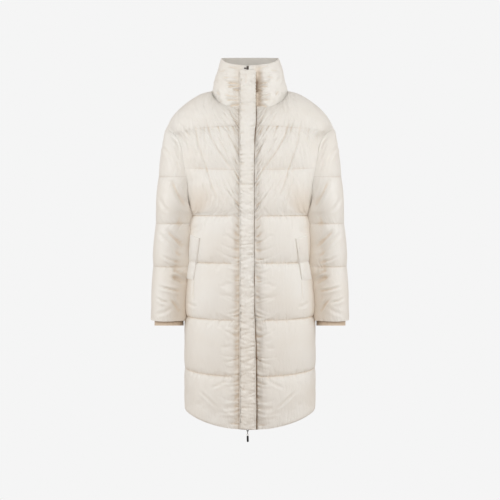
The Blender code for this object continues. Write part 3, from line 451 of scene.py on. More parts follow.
def gathers(along, off, span, rng, spacing, depth, reach, lean=0.0, seams=(0.0,), sides=(-1, 1)):
    """Short puckers that start at stitched seams, each of its own breadth, length, depth and lean.

    along runs with the seams, and off says how far past the first of them each point lies."""
    made = np.zeros_like(along)
    for seam in seams:
        past = off - seam
        at = span[0] + rng.uniform(0, spacing)
        while at < span[1]:
            for side in sides:
                long = reach * rng.uniform(0.35, 1.6)
                broad = spacing * rng.uniform(0.15, 0.32)
                deep = depth * rng.uniform(0.25, 1.3)
                slope = float(np.interp(at, *lean)) if np.ndim(lean) else lean
                slope += rng.normal(0, 0.20)
                place = at + rng.normal(0, spacing * 0.15)
                aside = along - place - slope * past
                near = (np.abs(past) < 2.6 * long) & (np.abs(aside) < 3 * broad) & (past * side >= 0)
                made[near] += deep * np.exp(-((aside[near] / broad) ** 2) - np.abs(past[near]) / long)
            at += spacing * rng.uniform(0.5, 1.7)
    return made


def spread(known, wanted):
    """Weights that carry values at some places smoothly over to other places."""
    at = np.interp(wanted, known, np.arange(len(known)))
    i = np.minimum(at.astype(int), len(known) - 2)
    t = at - i
    shares = [
        -0.5 * t + t**2 - 0.5 * t**3,
        1 - 2.5 * t**2 + 1.5 * t**3,
        0.5 * t + 2 * t**2 - 1.5 * t**3,
        -0.5 * t**2 + 0.5 * t**3,
    ]
    weights = np.zeros((len(wanted), len(known)))
    for step, share in zip((-1, 0, 1, 2), shares):
        np.add.at(weights, (np.arange(len(wanted)), np.clip(i + step, 0, len(known) - 1)), share)
    return weights


def drift(rng, rows, columns, *layers):
    """Slow random unevenness over a grid, the same whatever the grid's fineness.

    A layer is how many cells it has down and across, and its size."""
    made = 0.0
    for cells, size in layers:
        values = rng.normal(0, 0.55, cells)
        down = spread(np.linspace(rows[0], rows[-1], cells[0]), rows)
        across = spread(np.linspace(columns[0], columns[-1], cells[1]), columns)
        made = made + down @ values @ across.T * size
    return made


def grid_form(outer):
    """A bmesh grid of the given points, from the bottom row up, so that it faces outward."""
    rows, columns = outer.shape[:2]
    grid = bmesh.new()
    bmesh.ops.create_grid(grid, x_segments=columns - 1, y_segments=rows - 1, size=0.5)
    place = grid.verts.layers.int.new("place")
    for i, (vert, point) in enumerate(zip(grid.verts, outer[::-1].reshape(-1, 3).tolist())):
        vert[place] = i
        vert.co = point
    return grid, place


def settle(name, outer, pinned, gathered, pressure, excess, cap):
    """How far cloth with more length than its seams allow moves, pushed out by its padding, as it rests."""
    cloth = placed(name, meshed(name, grid_form(outer)[0]))
    for title, weights in (("pinned", pinned), ("gathered", gathered)):
        group = cloth.vertex_groups.new(name=title)
        levels = np.round(weights[::-1].reshape(-1) * WEIGHT_LEVELS).astype(int)
        for level in range(1, WEIGHT_LEVELS + 1):
            group.add(np.nonzero(levels == level)[0].tolist(), level / WEIGHT_LEVELS, "REPLACE")
    settling = cloth.modifiers.new("settling", "CLOTH")
    rules = settling.settings
    rules.quality = 5
    rules.mass = 0.3
    rules.tension_stiffness = rules.compression_stiffness = 15
    rules.shear_stiffness = 5
    rules.bending_stiffness = 0.4
    rules.vertex_group_mass = "pinned"
    rules.use_pressure = True
    rules.uniform_pressure_force = pressure
    rules.shrink_min, rules.shrink_max = -excess[0], -excess[1]
    rules.vertex_group_shrink = "gathered"
    rules.effector_weights.gravity = 0
    settling.collision_settings.use_collision = False
    settling.point_cache.frame_end = SETTLE_FRAMES
    for step in range(1, SETTLE_FRAMES + 1):
        bpy.context.scene.frame_set(step)
    rested = cloth.evaluated_get(bpy.context.evaluated_depsgraph_get()).data
    end = np.empty(len(rested.vertices) * 3)
    rested.vertices.foreach_get("co", end)
    moved = end.reshape(-1, 3) - outer[::-1].reshape(-1, 3)
    moved *= np.minimum(1, cap / np.maximum(np.linalg.norm(moved, axis=1, keepdims=True), 1e-9))
    bpy.data.objects.remove(cloth, do_unlink=True)
    bpy.context.scene.frame_set(1)
    return moved.reshape(outer.shape)[::-1]


def wall(name, outer, inner, finish, **marks):
    """The finished piece: a closed wall between outer and inner points, with its UVs in metres of cloth.

    marks are values for the finish, stored on the mesh's points."""
    grid, place = grid_form(outer)
    across, down = lengths(outer, 1)[::-1].reshape(-1), lengths(outer, 0)[::-1].reshape(-1)
    uv = grid.loops.layers.uv.new("cloth")
    for face in grid.faces:
        for corner in face.loops:
            i = corner.vert[place]
            corner[uv].uv = (across[i], down[i])
    bmesh.ops.remove_doubles(grid, verts=grid.verts, dist=MERGED)
    bmesh.ops.dissolve_degenerate(grid, edges=grid.edges, dist=MERGED)
    count = len(grid.verts)
    bmesh.ops.solidify(grid, geom=grid.faces[:], thickness=WALL)
    mesh = meshed(name, grid)
    places = np.empty(len(mesh.vertices), dtype=np.int32)
    mesh.attributes["place"].data.foreach_get("value", places)
    points = np.empty(len(places) * 3)
    mesh.vertices.foreach_get("co", points)
    points = points.reshape(-1, 3)
    points[count:] = inner[::-1].reshape(-1, 3)[places[count:]]
    mesh.vertices.foreach_set("co", points.reshape(-1))
    mesh.attributes.remove(mesh.attributes["place"])
    for title, values in marks.items():
        values = values[::-1].reshape(-1)[places].astype(np.float32)
        # the inner faces take at least this much painted shade
        if title == "tucked":
            values[count:] = np.maximum(values[count:], INSIDE_SHADE)
        mark = mesh.attributes.new(title, "FLOAT", "POINT")
        mark.data.foreach_set("value", values)
    mesh.shade_smooth()
    mesh.set_sharp_from_angle(angle=SHARP)
    mesh.materials.append(finish)
    return placed(name, mesh)


def shader_group(title, inputs, outputs):
    """An empty node group with named inputs and outputs, and its two ends."""
    tree = bpy.data.node_groups.new(title, "ShaderNodeTree")
    for name, value in inputs.items():
        socket = tree.interface.new_socket(name=name, in_out="INPUT", socket_type="NodeSocketFloat")
        socket.default_value = value
    for name in outputs:
        tree.interface.new_socket(name=name, in_out="OUTPUT", socket_type="NodeSocketFloat")
    return tree, tree.nodes.new("NodeGroupInput"), tree.nodes.new("NodeGroupOutput")


def maths(tree, operation, *values):
    return new_node(tree, "Math", dict(enumerate(values)), operation=operation).outputs[0]


def noise(tree, where, scale, detail):
    return new_node(tree, "TexNoise", {"Vector": where, "Scale": scale, "Detail": detail}).outputs["Fac"]


# The weave, on the piece's own UV map in metres: crossed threads, puckers that run off the stitching, and
# a slow drift of tone
cloth_group, given, made = shader_group(
    "padded_cloth",
    {"Pitch": WEAVE_PITCH, "Thread": THREAD_HIGH, "Pucker": PUCKER_HIGH, "Gathered": 0.0},
    ("Height", "Tone"),
)
where = new_node(cloth_group, "TexCoord").outputs
parts = new_node(cloth_group, "SeparateXYZ", {0: where["UV"]})
turns = maths(cloth_group, "DIVIDE", 2 * math.pi, given.outputs["Pitch"])
waves = [
    maths(cloth_group, "SINE", maths(cloth_group, "MULTIPLY", parts.outputs[axis], turns))
    for axis in ("X", "Y")
]
threads = maths(cloth_group, "MULTIPLY", maths(cloth_group, "MULTIPLY", *waves), given.outputs["Thread"])
stretched = new_node(cloth_group, "VectorMath", {0: where["UV"], 1: PUCKERS_TO_METRE}, operation="MULTIPLY")
held = maths(cloth_group, "MULTIPLY_ADD", given.outputs["Gathered"], 0.9, 0.1)
held = maths(cloth_group, "MULTIPLY", noise(cloth_group, stretched.outputs[0], 1.0, 2.0), held)
held = maths(cloth_group, "MULTIPLY", held, given.outputs["Pucker"])
relief = maths(cloth_group, "ADD", threads, held)
feed(cloth_group, made, {"Height": relief, "Tone": noise(cloth_group, where["Object"], 9.0, 3.0)})


def surfaced(tree, shader, tone, roughness, uneven, height, distance):
    """Gives a finish its gloss, higher where the tone is paler, and its relief."""
    gloss = {"Value": tone, "To Min": roughness + uneven, "To Max": roughness - uneven}
    gloss = new_node(tree, "MapRange", gloss).outputs["Result"]
    raised = new_node(tree, "Bump", {"Height": height, "Distance": distance}).outputs["Normal"]
    feed(tree, shader, {"Roughness": gloss, "Normal": raised})


def cloth_finish(title, tones, roughness, sheen, pitch=WEAVE_PITCH, thread=THREAD_HIGH, pucker=PUCKER_HIGH):
    """A woven finish. Its tones are the light one, the deep one, that of its painted shade in tucks and
    hollows, and that of its dark seams and painted shadows.
    """
    made, tree, shader = new_material(title)
    light, deep, tuck, seam_and_shadow_tone = tones
    gathered, tucked, seam = (
        new_node(tree, "Attribute", attribute_name=name).outputs["Fac"]
        for name in ("gathered", "tucked", "seam")
    )
    weave = {"Pitch": pitch, "Thread": thread, "Pucker": pucker, "Gathered": gathered}
    cloth = new_node(tree, "Group", weave, node_tree=cloth_group).outputs
    shade = new_node(tree, "MapRange", {"Value": cloth["Tone"], "From Min": 0.35, "From Max": 0.65})
    drifting = mixed(tree, shade.outputs["Result"], deep, light)
    # painted shade: darker and warmer where the cloth lies in a hollow or is marked as shaded
    with_painted_shade = mixed(tree, maths(tree, "MULTIPLY", tucked, PAINTED_SHADE_TONE), drifting, tuck)
    # dark stitched seams, and painted shadow beside the storm flap and in the collar
    seams_and_shadows = maths(tree, "MULTIPLY", maths(tree, "POWER", seam, SEAM_AND_SHADOW_POWER), SEAM_AND_SHADOW_TONE)
    feed(tree, shader, {"Base Color": mixed(tree, seams_and_shadows, with_painted_shade, seam_and_shadow_tone), "Specular IOR Level": 0.45})
    feed(tree, shader, {"Sheen Weight": sheen, "Sheen Roughness": 0.4})
    surfaced(tree, shader, cloth["Tone"], roughness, 0.05, cloth["Height"], 1.0)
    return made


THREAD, STITCH_LONG, STITCH_PITCH = 0.00055, 0.0030, 0.0042
thread_finish = cloth_finish("thread", CREAMS, 0.55, 0.0, pucker=0.0)
shell_cloth = cloth_finish("satin_nylon", CREAMS, 0.38, 0.10)
SETTLE_FRAMES, SETTLE_CAP = 16, 0.007
EXCESS = (0.010, 0.070)  # the cloth's spare length, away from the stitching and beside it
PAD_PRESSURE = 8.0
GATHER_REACH = 0.022  # how far from a stitched line its gathers reach
HOLLOW_PASSES = 14
# A padded piece before it settles. rows and columns say where its grid's points lie, whatever its fineness,
# loose how much of its settling each point keeps, shade how far painted shade deepens its tone, seam where it
# is sewn and where painted shadow darkens it, and lines which rows are stitched and how far along.
Form = namedtuple("Form", "rows columns outer inner outward pinned gathered loose shade seam lines")


def settled(name, form_at, facing, step=FINE, pressure=PAD_PRESSURE, excess=EXCESS):
    """How a piece's points move as it settles, at the fine mesh's points."""
    fine = form_at(step)
    coarse = form_at(COARSE)
    moved = settle(name, coarse.outer, coarse.pinned, coarse.gathered, pressure * facing, excess, SETTLE_CAP)
    down, across = spread(coarse.rows, fine.rows), spread(coarse.columns, fine.columns)
    return np.einsum("gc,fck->fgk", across, np.einsum("fr,rck->fck", down, moved))


def hollows(outer, outward):
    """How deep in a tuck each point lies, from 0 to 1: how far below the cloth around it."""
    level = outer.copy()
    for _ in range(HOLLOW_PASSES):
        for axis in (0, 1):
            level = np.swapaxes(level, 0, axis)
            level[1:-1] = (level[:-2] + 2 * level[1:-1] + level[2:]) / 4
            level = np.swapaxes(level, 0, axis)
    sunk = np.einsum("rck,rck->rc", level - outer, outward)
    return ease(sunk / PAINTED_SHADE_DEPTH)


def repeated(name, unit_form, frames, finish):
    """Many copies of a small form in one mesh; a frame is three axes and a place, as columns."""
    small = meshed("small", unit_form)
    many = bmesh.new()
    for _ in frames:
        many.from_mesh(small)
    mesh = meshed(name, many)
    corners = np.array([vert.co for vert in small.vertices])
    points = np.einsum("kij,vj->kvi", frames[:, :, :3], corners) + frames[:, None, :, 3]
    mesh.vertices.foreach_set("co", points.reshape(-1))
    mesh.update()
    mesh.materials.append(finish)
    return placed(name, mesh)


def stitches(name, runs):
    """A line of thread stitches along each run, which is its points and the outward direction at them."""
    frames = []
    for points, outs in runs:
        walk = lengths(points[:, None], 0)[:, 0]
        at = np.arange(STITCH_PITCH, walk[-1] - STITCH_PITCH / 2, STITCH_PITCH)
        before, place, after = (
            np.stack([np.interp(at + step, walk, points[:, axis]) for axis in range(3)], axis=-1)
            for step in (-STITCH_LONG / 2, 0, STITCH_LONG / 2)
        )
        out = np.stack([np.interp(at, walk, outs[:, axis]) for axis in range(3)], axis=-1)
        along = unit(after - before)
        aside = unit(np.cross(out, along))
        frames.append(np.stack([along, aside, np.cross(along, aside), place], axis=-1))
    form = bmesh.new()
    bmesh.ops.create_cone(
        form, cap_ends=True, segments=5, radius1=THREAD / 2, radius2=THREAD / 2, depth=STITCH_LONG,
        matrix=Matrix.Rotation(math.pi / 2, 4, "Y"),
    )
    made = repeated(name, form, np.concatenate(frames), thread_finish)
    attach(made, "coat")


def sewn(name, form, moved, creases, middle=0.0, hand=1, facing=1):
    """A padded piece in its settled form, with its creases laid in and its edges on their seams."""
    deep = press(form.outer, creases, middle) * (form.loose > 0)
    outer = form.outer + moved * form.loose[..., None] - form.outward * deep[..., None]
    inner = form.inner
    # painted shade in the hollows and where the form marks shade
    tucked = np.clip(hollows(outer, form.outward) + form.shade, 0, 1)
    gathered, seam = form.gathered, form.seam
    runs = []
    for row, far in form.lines:
        kept = np.abs(form.columns) <= far
        runs.append((outer[row, kept] * (hand, 1, 1), form.outward[row, kept] * (hand, 1, 1)))
    if runs:
        stitches(name.replace("panel", "stitches"), runs)
    if hand < 0:
        outer, inner = outer * (-1, 1, 1), inner * (-1, 1, 1)
    if facing * hand < 0:
        outer, inner, tucked, gathered, seam = (
            grid[:, ::-1] for grid in (outer, inner, tucked, gathered, seam)
        )
    return wall(name, outer, inner, shell_cloth, gathered=gathered, tucked=tucked, seam=seam)


def rows_between(first, last, heights, step):
    """Places from one stitched line to the next, all the lines included, about a step apart."""
    made = []
    for channel in range(first, last):
        count = max(4, round(abs(heights[channel - first + 1] - heights[channel - first]) / step))
        made += list(channel + np.arange(count) / count)
    return np.array(made + [last])


def seam_aside(points, outs, toward):
    """Unit steps across a seam, at right angles to its run and its outward direction, toward a piece."""
    across = unit(np.cross(np.gradient(points, axis=0), outs))
    flip = np.sign(np.einsum("ij,j->i", across, np.array(toward, float)))
    return across * np.where(flip == 0, 1, flip)[:, None]


# What a storm flap does to the front beside it: its edge by height, how dark the painted shadow on the cloth
# there is, and the share of the valley that the stitching draws
Flap = namedtuple("Flap", "edge dark valley")
PLACKET_AT, PLACKET_DEPTH, PLACKET_BREADTH = 0.0260, 0.0042, 0.0075  # that valley
# painted shade in the valley beside the flap, and along its edge
PLACKET_SHADES = [Shade(0.32, PLACKET_AT, 0.009), Shade(0.40, 0.0205, 0.0035)]
PLACKET_PINNED, PLACKET_SPAN = 0.017, (0.0, 0.98)
PLACKET_DROPS, PLACKET_RISES = (0.010, 0.0066, 0.016), (0.012, 0.0054, 0.014)  # gathers down and up
PLACKET_LEAN = ([0.0, 0.15, 0.30, 0.45, 0.60, 1.0], [-1.1, -0.9, -0.5, 0.5, 0.7, 0.8])  # by way down the edge
PLACKET_LOWEST, PUFF_LOWEST = -0.0050, -0.0018
# By channel: the share of the valley that is there, with its painted shade, and the breadth of the flap's
# painted shadow
PLACKET_SHARE = ([0, 1, 2, 2.6, 3.4, 5, 6, 7], [0.70, 0.45, 0.12, 0.20, 0.80, 1.00, 1.00, 0.80])
FLAP_SHADOW = ([0, 1, 2, 4, 5, 6, 7], [0.0090, 0.0080, 0.0026, 0.0028, 0.0060, 0.0095, 0.0100])


def body_form(forward, start_x, folds, seed, step, flap=None):
    """Half a body panel, or without a flap over its front edge the whole of one, before it settles."""
    whole = flap is None
    rng = np.random.default_rng(seed)
    rows = rows_between(0, HEM, CHANNEL_EDGES, step)
    shares = np.linspace(0, 1, round(HALF_ROUND / step) + 1)
    base = body_base(forward, rows, start_x, shares)
    outward = surface_normals(base, -forward)
    armed = rows <= UNDERARM
    outward[rows >= UNDERARM, -1] = (1, 0, 0)
    across = lengths(base, 1)
    down = lengths(base, 0)
    height = body_puff(across, rows, BACK_LEAST if whole else FRONT_LEAST)
    height -= press(base, folds) * ease(height / THIN)
    if not whole:
        drawn = flap.valley * np.interp(rows, *PLACKET_SHARE)[:, None]
        valley = drawn * fade(across - PLACKET_AT, PLACKET_BREADTH)
        height -= PLACKET_DEPTH * valley * ease(height / THIN)
    outer = base + outward * height[..., None]
    inner = base - outward * WALL

    arms, outs = armhole(np.minimum(base[armed, -1, 2], ARMS[0].height), forward)
    outs[-1] = (0.7, 0, -0.7)
    aside = seam_aside(arms, outs, (-1.0, 0, -0.05))
    aside[-1] = (-1, 0, 0)
    outer[armed, -1] = arms + aside * GAP / 2
    inner[armed, -1] = outer[armed, -1] - outs * WALL
    top, outs, into = yoke_top(forward, start_x, shares)
    outer[0] = top + into * GAP / 2
    inner[0] = outer[0] - outs * WALL
    outer[~armed, -1, 1] += forward * GAP / 2
    inner[~armed, -1, 1] += forward * GAP / 2
    loose = np.interp(rows, *YOKE_LOOSE)[:, None] * np.ones_like(across)
    loose *= 0.08 + 0.92 * ease((across[:, -1:] - across) / 0.070)
    if not whole:
        loose *= ease((across - 0.012) / 0.040)
    loose[0] = loose[:, -1] = loose[-1] = 0
    if whole:
        outer, inner, outward = (
            np.concatenate([grid[:, :0:-1] * (-1, 1, 1), grid], axis=1) for grid in (outer, inner, outward)
        )
        outward[:, len(shares) - 1] = unit(outward[:, len(shares) - 1] * (0, 1, 1))
        height, down, loose = (
            np.concatenate([grid[:, :0:-1], grid], axis=1) for grid in (height, down, loose)
        )
        across = np.concatenate([-across[:, :0:-1], across], axis=1)
        shares = np.concatenate([-shares[:0:-1], shares])

    edge = (np.abs(across[:, -1:]) - np.abs(across)) / 0.02
    lines = [down[np.argmin(np.abs(rows - line))] for line in range(1, HEM)]
    span = (-HALF_ROUND, HALF_ROUND) if whole else (0.0, HALF_ROUND)
    pucker = gathers(across, down, span, rng, *QUILT_GATHERS, seams=lines[1:])
    slant = 0.0 if whole else -0.28
    pucker += gathers(across, down, span, rng, *YOKE_GATHERS, slant, seams=[0.0, lines[0]], sides=[1])
    if not whole:
        past = across - PLACKET_PINNED
        pleats = gathers(down, past, PLACKET_SPAN, rng, *PLACKET_DROPS, PLACKET_LEAN, sides=[1])
        pleats -= gathers(down, past, PLACKET_SPAN, rng, *PLACKET_RISES, PLACKET_LEAN, sides=[1])
        pleats = np.maximum(pleats * ease(past / 0.006), PLACKET_LOWEST)
    change = (drift(rng, rows, shares, *BODY_DRIFT) - pucker * ease(edge)) * ease(height / THIN)
    if not whole:
        change -= pleats * ease(edge)
    change = np.maximum(change, PUFF_LOWEST - height)
    outer += outward * (change * (loose > 0))[..., None]

    pinned = np.zeros(across.shape)
    pinned[rows % 1 == 0] = 1
    pinned[rows == 1] = YOKE_PINNED
    pinned[:, -1] = 1
    if whole:
        pinned[:, 0] = 1
    else:
        pinned[:, across[-1] < PLACKET_PINNED] = 1
    stitched = np.abs(down[:, None, :] - np.array(lines + [down[0], down[-1]])[None]).min(axis=1)
    gathered = np.maximum(np.exp(-stitched / GATHER_REACH), np.interp(rows, *YOKE_GATHERED)[:, None])
    shade = np.zeros(across.shape)
    if not whole:
        # painted shade in the valley beside the flap, and on the side where the sleeve rests
        for dark in PLACKET_SHADES:
            shade += dark.deep * fade(across - dark.at, dark.breadth)
        shade *= drawn
        touched = SIDE_SHADE.deep * np.interp(rows, *SIDE_TOUCHED)[:, None]
        shade += touched * fade(across[:, -1:] - across - SIDE_SHADE.at, SIDE_SHADE.breadth, 4)
    seam = ((rows % 1 == 0) & (rows > 0) & (rows < HEM))[:, None] * np.ones(across.shape)
    seam[rows == 1] *= 1 - ease((np.abs(shares) - 0.55) / 0.08)
    if not whole:
        # painted shadow on the front beside the flap's edge, carried in the seam mark
        past = base[..., 0] - flap.edge(base[..., 2])
        shadow = 1 - ease((past - 0.0008) / np.interp(rows, *FLAP_SHADOW)[:, None])
        seam = np.maximum(seam, flap.dark * shadow)
    quilted = [(np.argmin(np.abs(rows - line)), YOKE_SEWN if line == 1 else 1.0) for line in range(1, HEM)]
    return Form(rows, shares, outer, inner, outward, pinned, gathered, loose, shade, seam, quilted)


def back_form(step):
    return body_form(1, 0.0, BACK_FOLDS, 11, step)


back = sewn("back_panel", back_form(FINE), settled("back", back_form, -1), BACK_CREASES, facing=-1)
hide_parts("back")
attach(back, "coat")

# ---- Fronts ----
# Two panels with the back's quilting levels, each stitched to the zip down its front edge. Long drag lines
# fall from the neck and the shoulders toward it. One settled half serves both, since they are cut as a pair.
CENTRE = -0.0066
SLOT = 0.0035
# Where the storm flap's two edges lie: straight on the left, and drifting on the free right side
FLAP_LEFT = -0.0295
FreeEdge = namedtuple("FreeEdge", "height x")
FLAP_RIGHT = [
    FreeEdge(0.052, 0.0165),
    FreeEdge(-0.090, 0.0160),
    FreeEdge(-0.150, 0.0125),
    FreeEdge(-0.230, 0.0112),
    FreeEdge(-0.600, 0.0116),
    FreeEdge(-0.720, 0.0160),
    FreeEdge(-0.950, 0.0176),
]
FRONT_FOLDS = [
    Crease(0.014, 0.0040, 0, [(0.160, -0.080), (0.085, -0.340)]),
    Crease(0.012, 0.0030, 0, [(0.130, -0.060), (0.040, -0.265)]),
    Crease(0.014, 0.0035, 0, [(0.152, -0.385), (0.136, -0.410)]),
    Crease(0.018, 0.0045, 0, [(0.150, -0.868), (0.085, -0.925)]),
]
FRONT_CREASES = [
    Crease(0.0030, 0.0025, 0.0007, [(0.150, -0.064), (0.147, -0.105), (0.138, -0.154), (0.1225, -0.199),
                                    (0.112, -0.233), (0.0985, -0.275), (0.085, -0.306), (0.067, -0.343)]),
    Crease(0.0029, 0.0025, 0.0007, [(0.115, -0.061), (0.1135, -0.1025), (0.101, -0.140), (0.081, -0.175),
                                    (0.060, -0.206), (0.043, -0.230), (0.031, -0.261)]),
    Crease(0.0026, 0.0019, 0.0006, [(0.077, -0.054), (0.050, -0.092), (0.029, -0.140)]),
    Crease(0.0029, 0.0011, 0.0003, [(0.133, -0.102), (0.129, -0.140), (0.125, -0.191)]),
    Crease(0.0022, 0.0013, 0.0004, [(0.070, -0.106), (0.050, -0.136), (0.029, -0.168)]),
    Crease(0.0022, 0.0013, 0.0004, [(0.052, -0.104), (0.028, -0.140)]),
    Crease(0.0024, 0.0012, 0.0004, [(0.098, -0.060), (0.088, -0.095), (0.075, -0.128)]),
    Crease(0.0025, 0.0011, 0.0004, [(0.172, -0.085), (0.169, -0.130), (0.163, -0.170)]),
    Crease(0.0020, 0.0016, 0.0005, [(0.060, -0.045), (0.042, -0.080), (0.026, -0.112)]),
    Crease(0.0018, 0.0014, 0.0005, [(0.048, -0.050), (0.026, -0.090)]),
    Crease(0.0020, 0.0016, 0.0005, [(0.090, -0.050), (0.060, -0.108), (0.030, -0.152)]),
    Crease(0.0022, 0.0016, 0.0005, [(0.135, -0.068), (0.120, -0.120), (0.098, -0.170)]),
    Crease(0.0020, 0.0014, 0.0005, [(0.092, -0.120), (0.070, -0.160), (0.048, -0.200)]),
    Crease(0.0022, 0.0014, 0.0005, [(0.100, -0.235), (0.078, -0.285), (0.060, -0.325)]),
    Crease(0.0020, 0.0014, 0.0005, [(0.070, -0.236), (0.048, -0.275), (0.032, -0.315)]),
    Crease(0.0022, 0.0013, 0.0004, [(0.132, -0.240), (0.114, -0.290), (0.098, -0.340)]),
    Crease(0.0025, 0.0013, 0.0004, [(0.120, -0.357), (0.122, -0.396)]),
    Crease(0.0043, 0.0015, 0.0005, [(0.173, -0.600), (0.159, -0.609), (0.140, -0.612)]),
    Crease(0.0025, 0.0022, 0.0008, [(0.1515, -0.530), (0.1530, -0.560), (0.1550, -0.600)]),
    Crease(0.0036, 0.0017, 0.0007, [(0.137, -0.846), (0.111, -0.867), (0.078, -0.895)]),
    Crease(0.0036, 0.0015, 0.0006, [(0.105, -0.839), (0.078, -0.826), (0.047, -0.811)]),
]


def flap_edge(height):
    return column(FLAP_RIGHT, "x", height)


def front_form(step, hand=1):
    """A front before it settles, on the left side of the body, beside the flap's edge on its own side."""
    flap = Flap(flap_edge, 1.50, 0.30) if hand > 0 else Flap(lambda height: -FLAP_LEFT, 1.12, 1.0)
    return body_form(-1, hand * CENTRE + SLOT, FRONT_FOLDS, 5, step, flap)


moved = settled("front", front_form, 1, FINER)
fronts = {}
for side, hand in (("right", -1), ("left", 1)):
    front = sewn(f"front_{side}_panel", front_form(FINER, hand), moved, FRONT_CREASES, hand * CENTRE, hand)
    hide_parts(f"front_{side}")
    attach(front, "coat")
    fronts[side] = front

# ---- Sleeves ----
# Each is one padded panel: a cap set into the armhole, and below the underarm a tube with a seam inside.
# Three quilting lines go round it, and it folds a little where the arm bends.
SLEEVE_LINES = [-0.104, -0.247, -0.380, -0.504, -0.658]
SLEEVE_ROUND = 0.40
SLEEVE_PUFF_FRONT, SLEEVE_PUFF_OUTER, SLEEVE_PUFF_INNER = 0.0085, 0.0012, 0.0010
SLEEVE_GATHERS, CAP_GATHERS = (0.015, 0.0015, 0.017), (0.013, 0.0010, 0.018)
CAP_SPAN, CAP_PINNED = (0.13, 0.34), -0.113
SLEEVE_SHADE, REST_SHADE, SLEEVE_DARKEST = 0.58, 0.40, 0.85  # painted shade on its inside, more where it rests, and at most
SLEEVE_DRIFT = (((16, 12), 0.0007), ((7, 5), 0.0010))
BODY_SWELL, BODY_PRESSED = 0.0062, 0.0010  # the body's side where a sleeve rests against it
# How closely the inside of the sleeve rests against the body's side, by height, and the cosine of the turn
# at which that starts
Rest = namedtuple("Rest", "height share turn")
SLEEVE_REST = [
    Rest(-0.285, 0.00, -0.05),
    Rest(-0.315, 0.60, -0.10),
    Rest(-0.345, 0.95, -0.28),
    Rest(-0.357, 1.00, -0.34),
    Rest(-0.370, 1.00, -0.36),
    Rest(-0.520, 1.00, -0.36),
    Rest(-0.580, 1.00, -0.50),
    Rest(-0.640, 1.00, -0.50),
    Rest(-0.658, 0.85, -0.50),
]
SLEEVE_FOLDS = [
    Crease(0.015, 0.0065, 0, [(0.232, -0.245), (0.202, -0.300), (0.174, -0.352)]),
    Crease(0.012, 0.0060, 0, [(0.222, -0.530), (0.204, -0.541), (0.188, -0.552)]),
    Crease(0.013, 0.0045, 0, [(0.234, -0.392), (0.192, -0.470)]),
]
SLEEVE_CREASES = [
    Crease(0.0055, 0.0036, 0.0022, [(0.227, -0.250), (0.205, -0.293), (0.176, -0.346)]),
    Crease(0.0040, 0.0016, 0.0012, [(0.206, -0.262), (0.190, -0.300), (0.178, -0.330)]),
    Crease(0.0050, 0.0026, 0.0018, [(0.246, -0.391), (0.216, -0.420), (0.184, -0.450)]),
    Crease(0.0050, 0.0022, 0.0016, [(0.262, -0.404), (0.232, -0.434), (0.200, -0.462)]),
    Crease(0.0040, 0.0018, 0.0014, [(0.228, -0.444), (0.208, -0.464), (0.186, -0.478)]),
    Crease(0.0045, 0.0044, 0.0036, [(0.228, -0.527), (0.207, -0.538), (0.184, -0.556)]),
    Crease(0.0034, 0.0030, 0.0026, [(0.222, -0.512), (0.203, -0.519), (0.182, -0.536)]),
    Crease(0.0036, 0.0030, 0.0028, [(0.262, -0.557), (0.230, -0.566), (0.194, -0.574)]),
    Crease(0.0034, 0.0026, 0.0022, [(0.230, -0.592), (0.214, -0.607), (0.196, -0.640)]),
    Crease(0.0034, 0.0024, 0.0020, [(0.252, -0.470), (0.226, -0.484), (0.196, -0.492)]),
    Crease(0.0034, 0.0024, 0.0020, [(0.268, -0.590), (0.250, -0.600), (0.230, -0.604)]),
    Crease(0.0045, 0.0018, 0.0012, [(0.262, -0.150), (0.235, -0.178), (0.212, -0.214)]),
    Crease(0.0030, 0.0018, 0.0014, [(0.225, -0.130), (0.208, -0.150), (0.194, -0.190)]),
    Crease(0.0030, 0.0018, 0.0014, [(0.219, -0.150), (0.206, -0.174), (0.197, -0.212)]),
    Crease(0.0035, 0.0014, 0.0012, [(0.212, -0.186), (0.205, -0.212), (0.196, -0.238)]),
    Crease(0.0045, 0.0014, 0.0012, [(0.268, -0.640), (0.239, -0.630), (0.215, -0.614)]),
    Crease(0.0050, 0.0016, 0.0012, [(0.262, -0.300), (0.246, -0.330), (0.226, -0.352)]),
    Crease(0.0045, 0.0014, 0.0012, [(0.236, -0.575), (0.219, -0.600), (0.207, -0.630)]),
]


def sleeve_rows(step):
    """Heights of a sleeve's rows: evenly spaced along the armhole seam, then down to its end."""
    fine = np.linspace(ARMS[0].height, LINES[UNDERARM - 1].side, 600)
    run = lengths(armhole(fine)[0][:, None], 0)[:, 0]
    upper = np.interp(np.linspace(0, run[-1], round(run[-1] / step) + 1), run, fine)
    lower = np.linspace(fine[-1], SLEEVE_LINES[-1], round((fine[-1] - SLEEVE_LINES[-1]) / step) + 1)
    rows = np.concatenate([upper, lower[1:]])
    for line in SLEEVE_LINES[1:-1]:
        rows[np.argmin(np.abs(rows - line))] = line
    return rows, len(upper) - 1


def sleeve_section(height, turns, shrink=0.0):
    """Points round a sleeve at some heights; turns run from -1 at the front seam to 1 at the back seam."""
    height = np.asarray(height, float)[:, None] * np.ones_like(turns)
    middle, outer = column(ARMS, "middle", height), column(ARMS, "outer", height)
    angle = turns * np.radians(column(ARMS, "seam", height))
    x = middle + (outer - middle - shrink) * np.cos(angle)
    y = column(ARMS, "forward", height) + (column(ARMS, "depth", height) - shrink) * np.sin(angle)
    return np.stack([x, y, height], axis=-1)


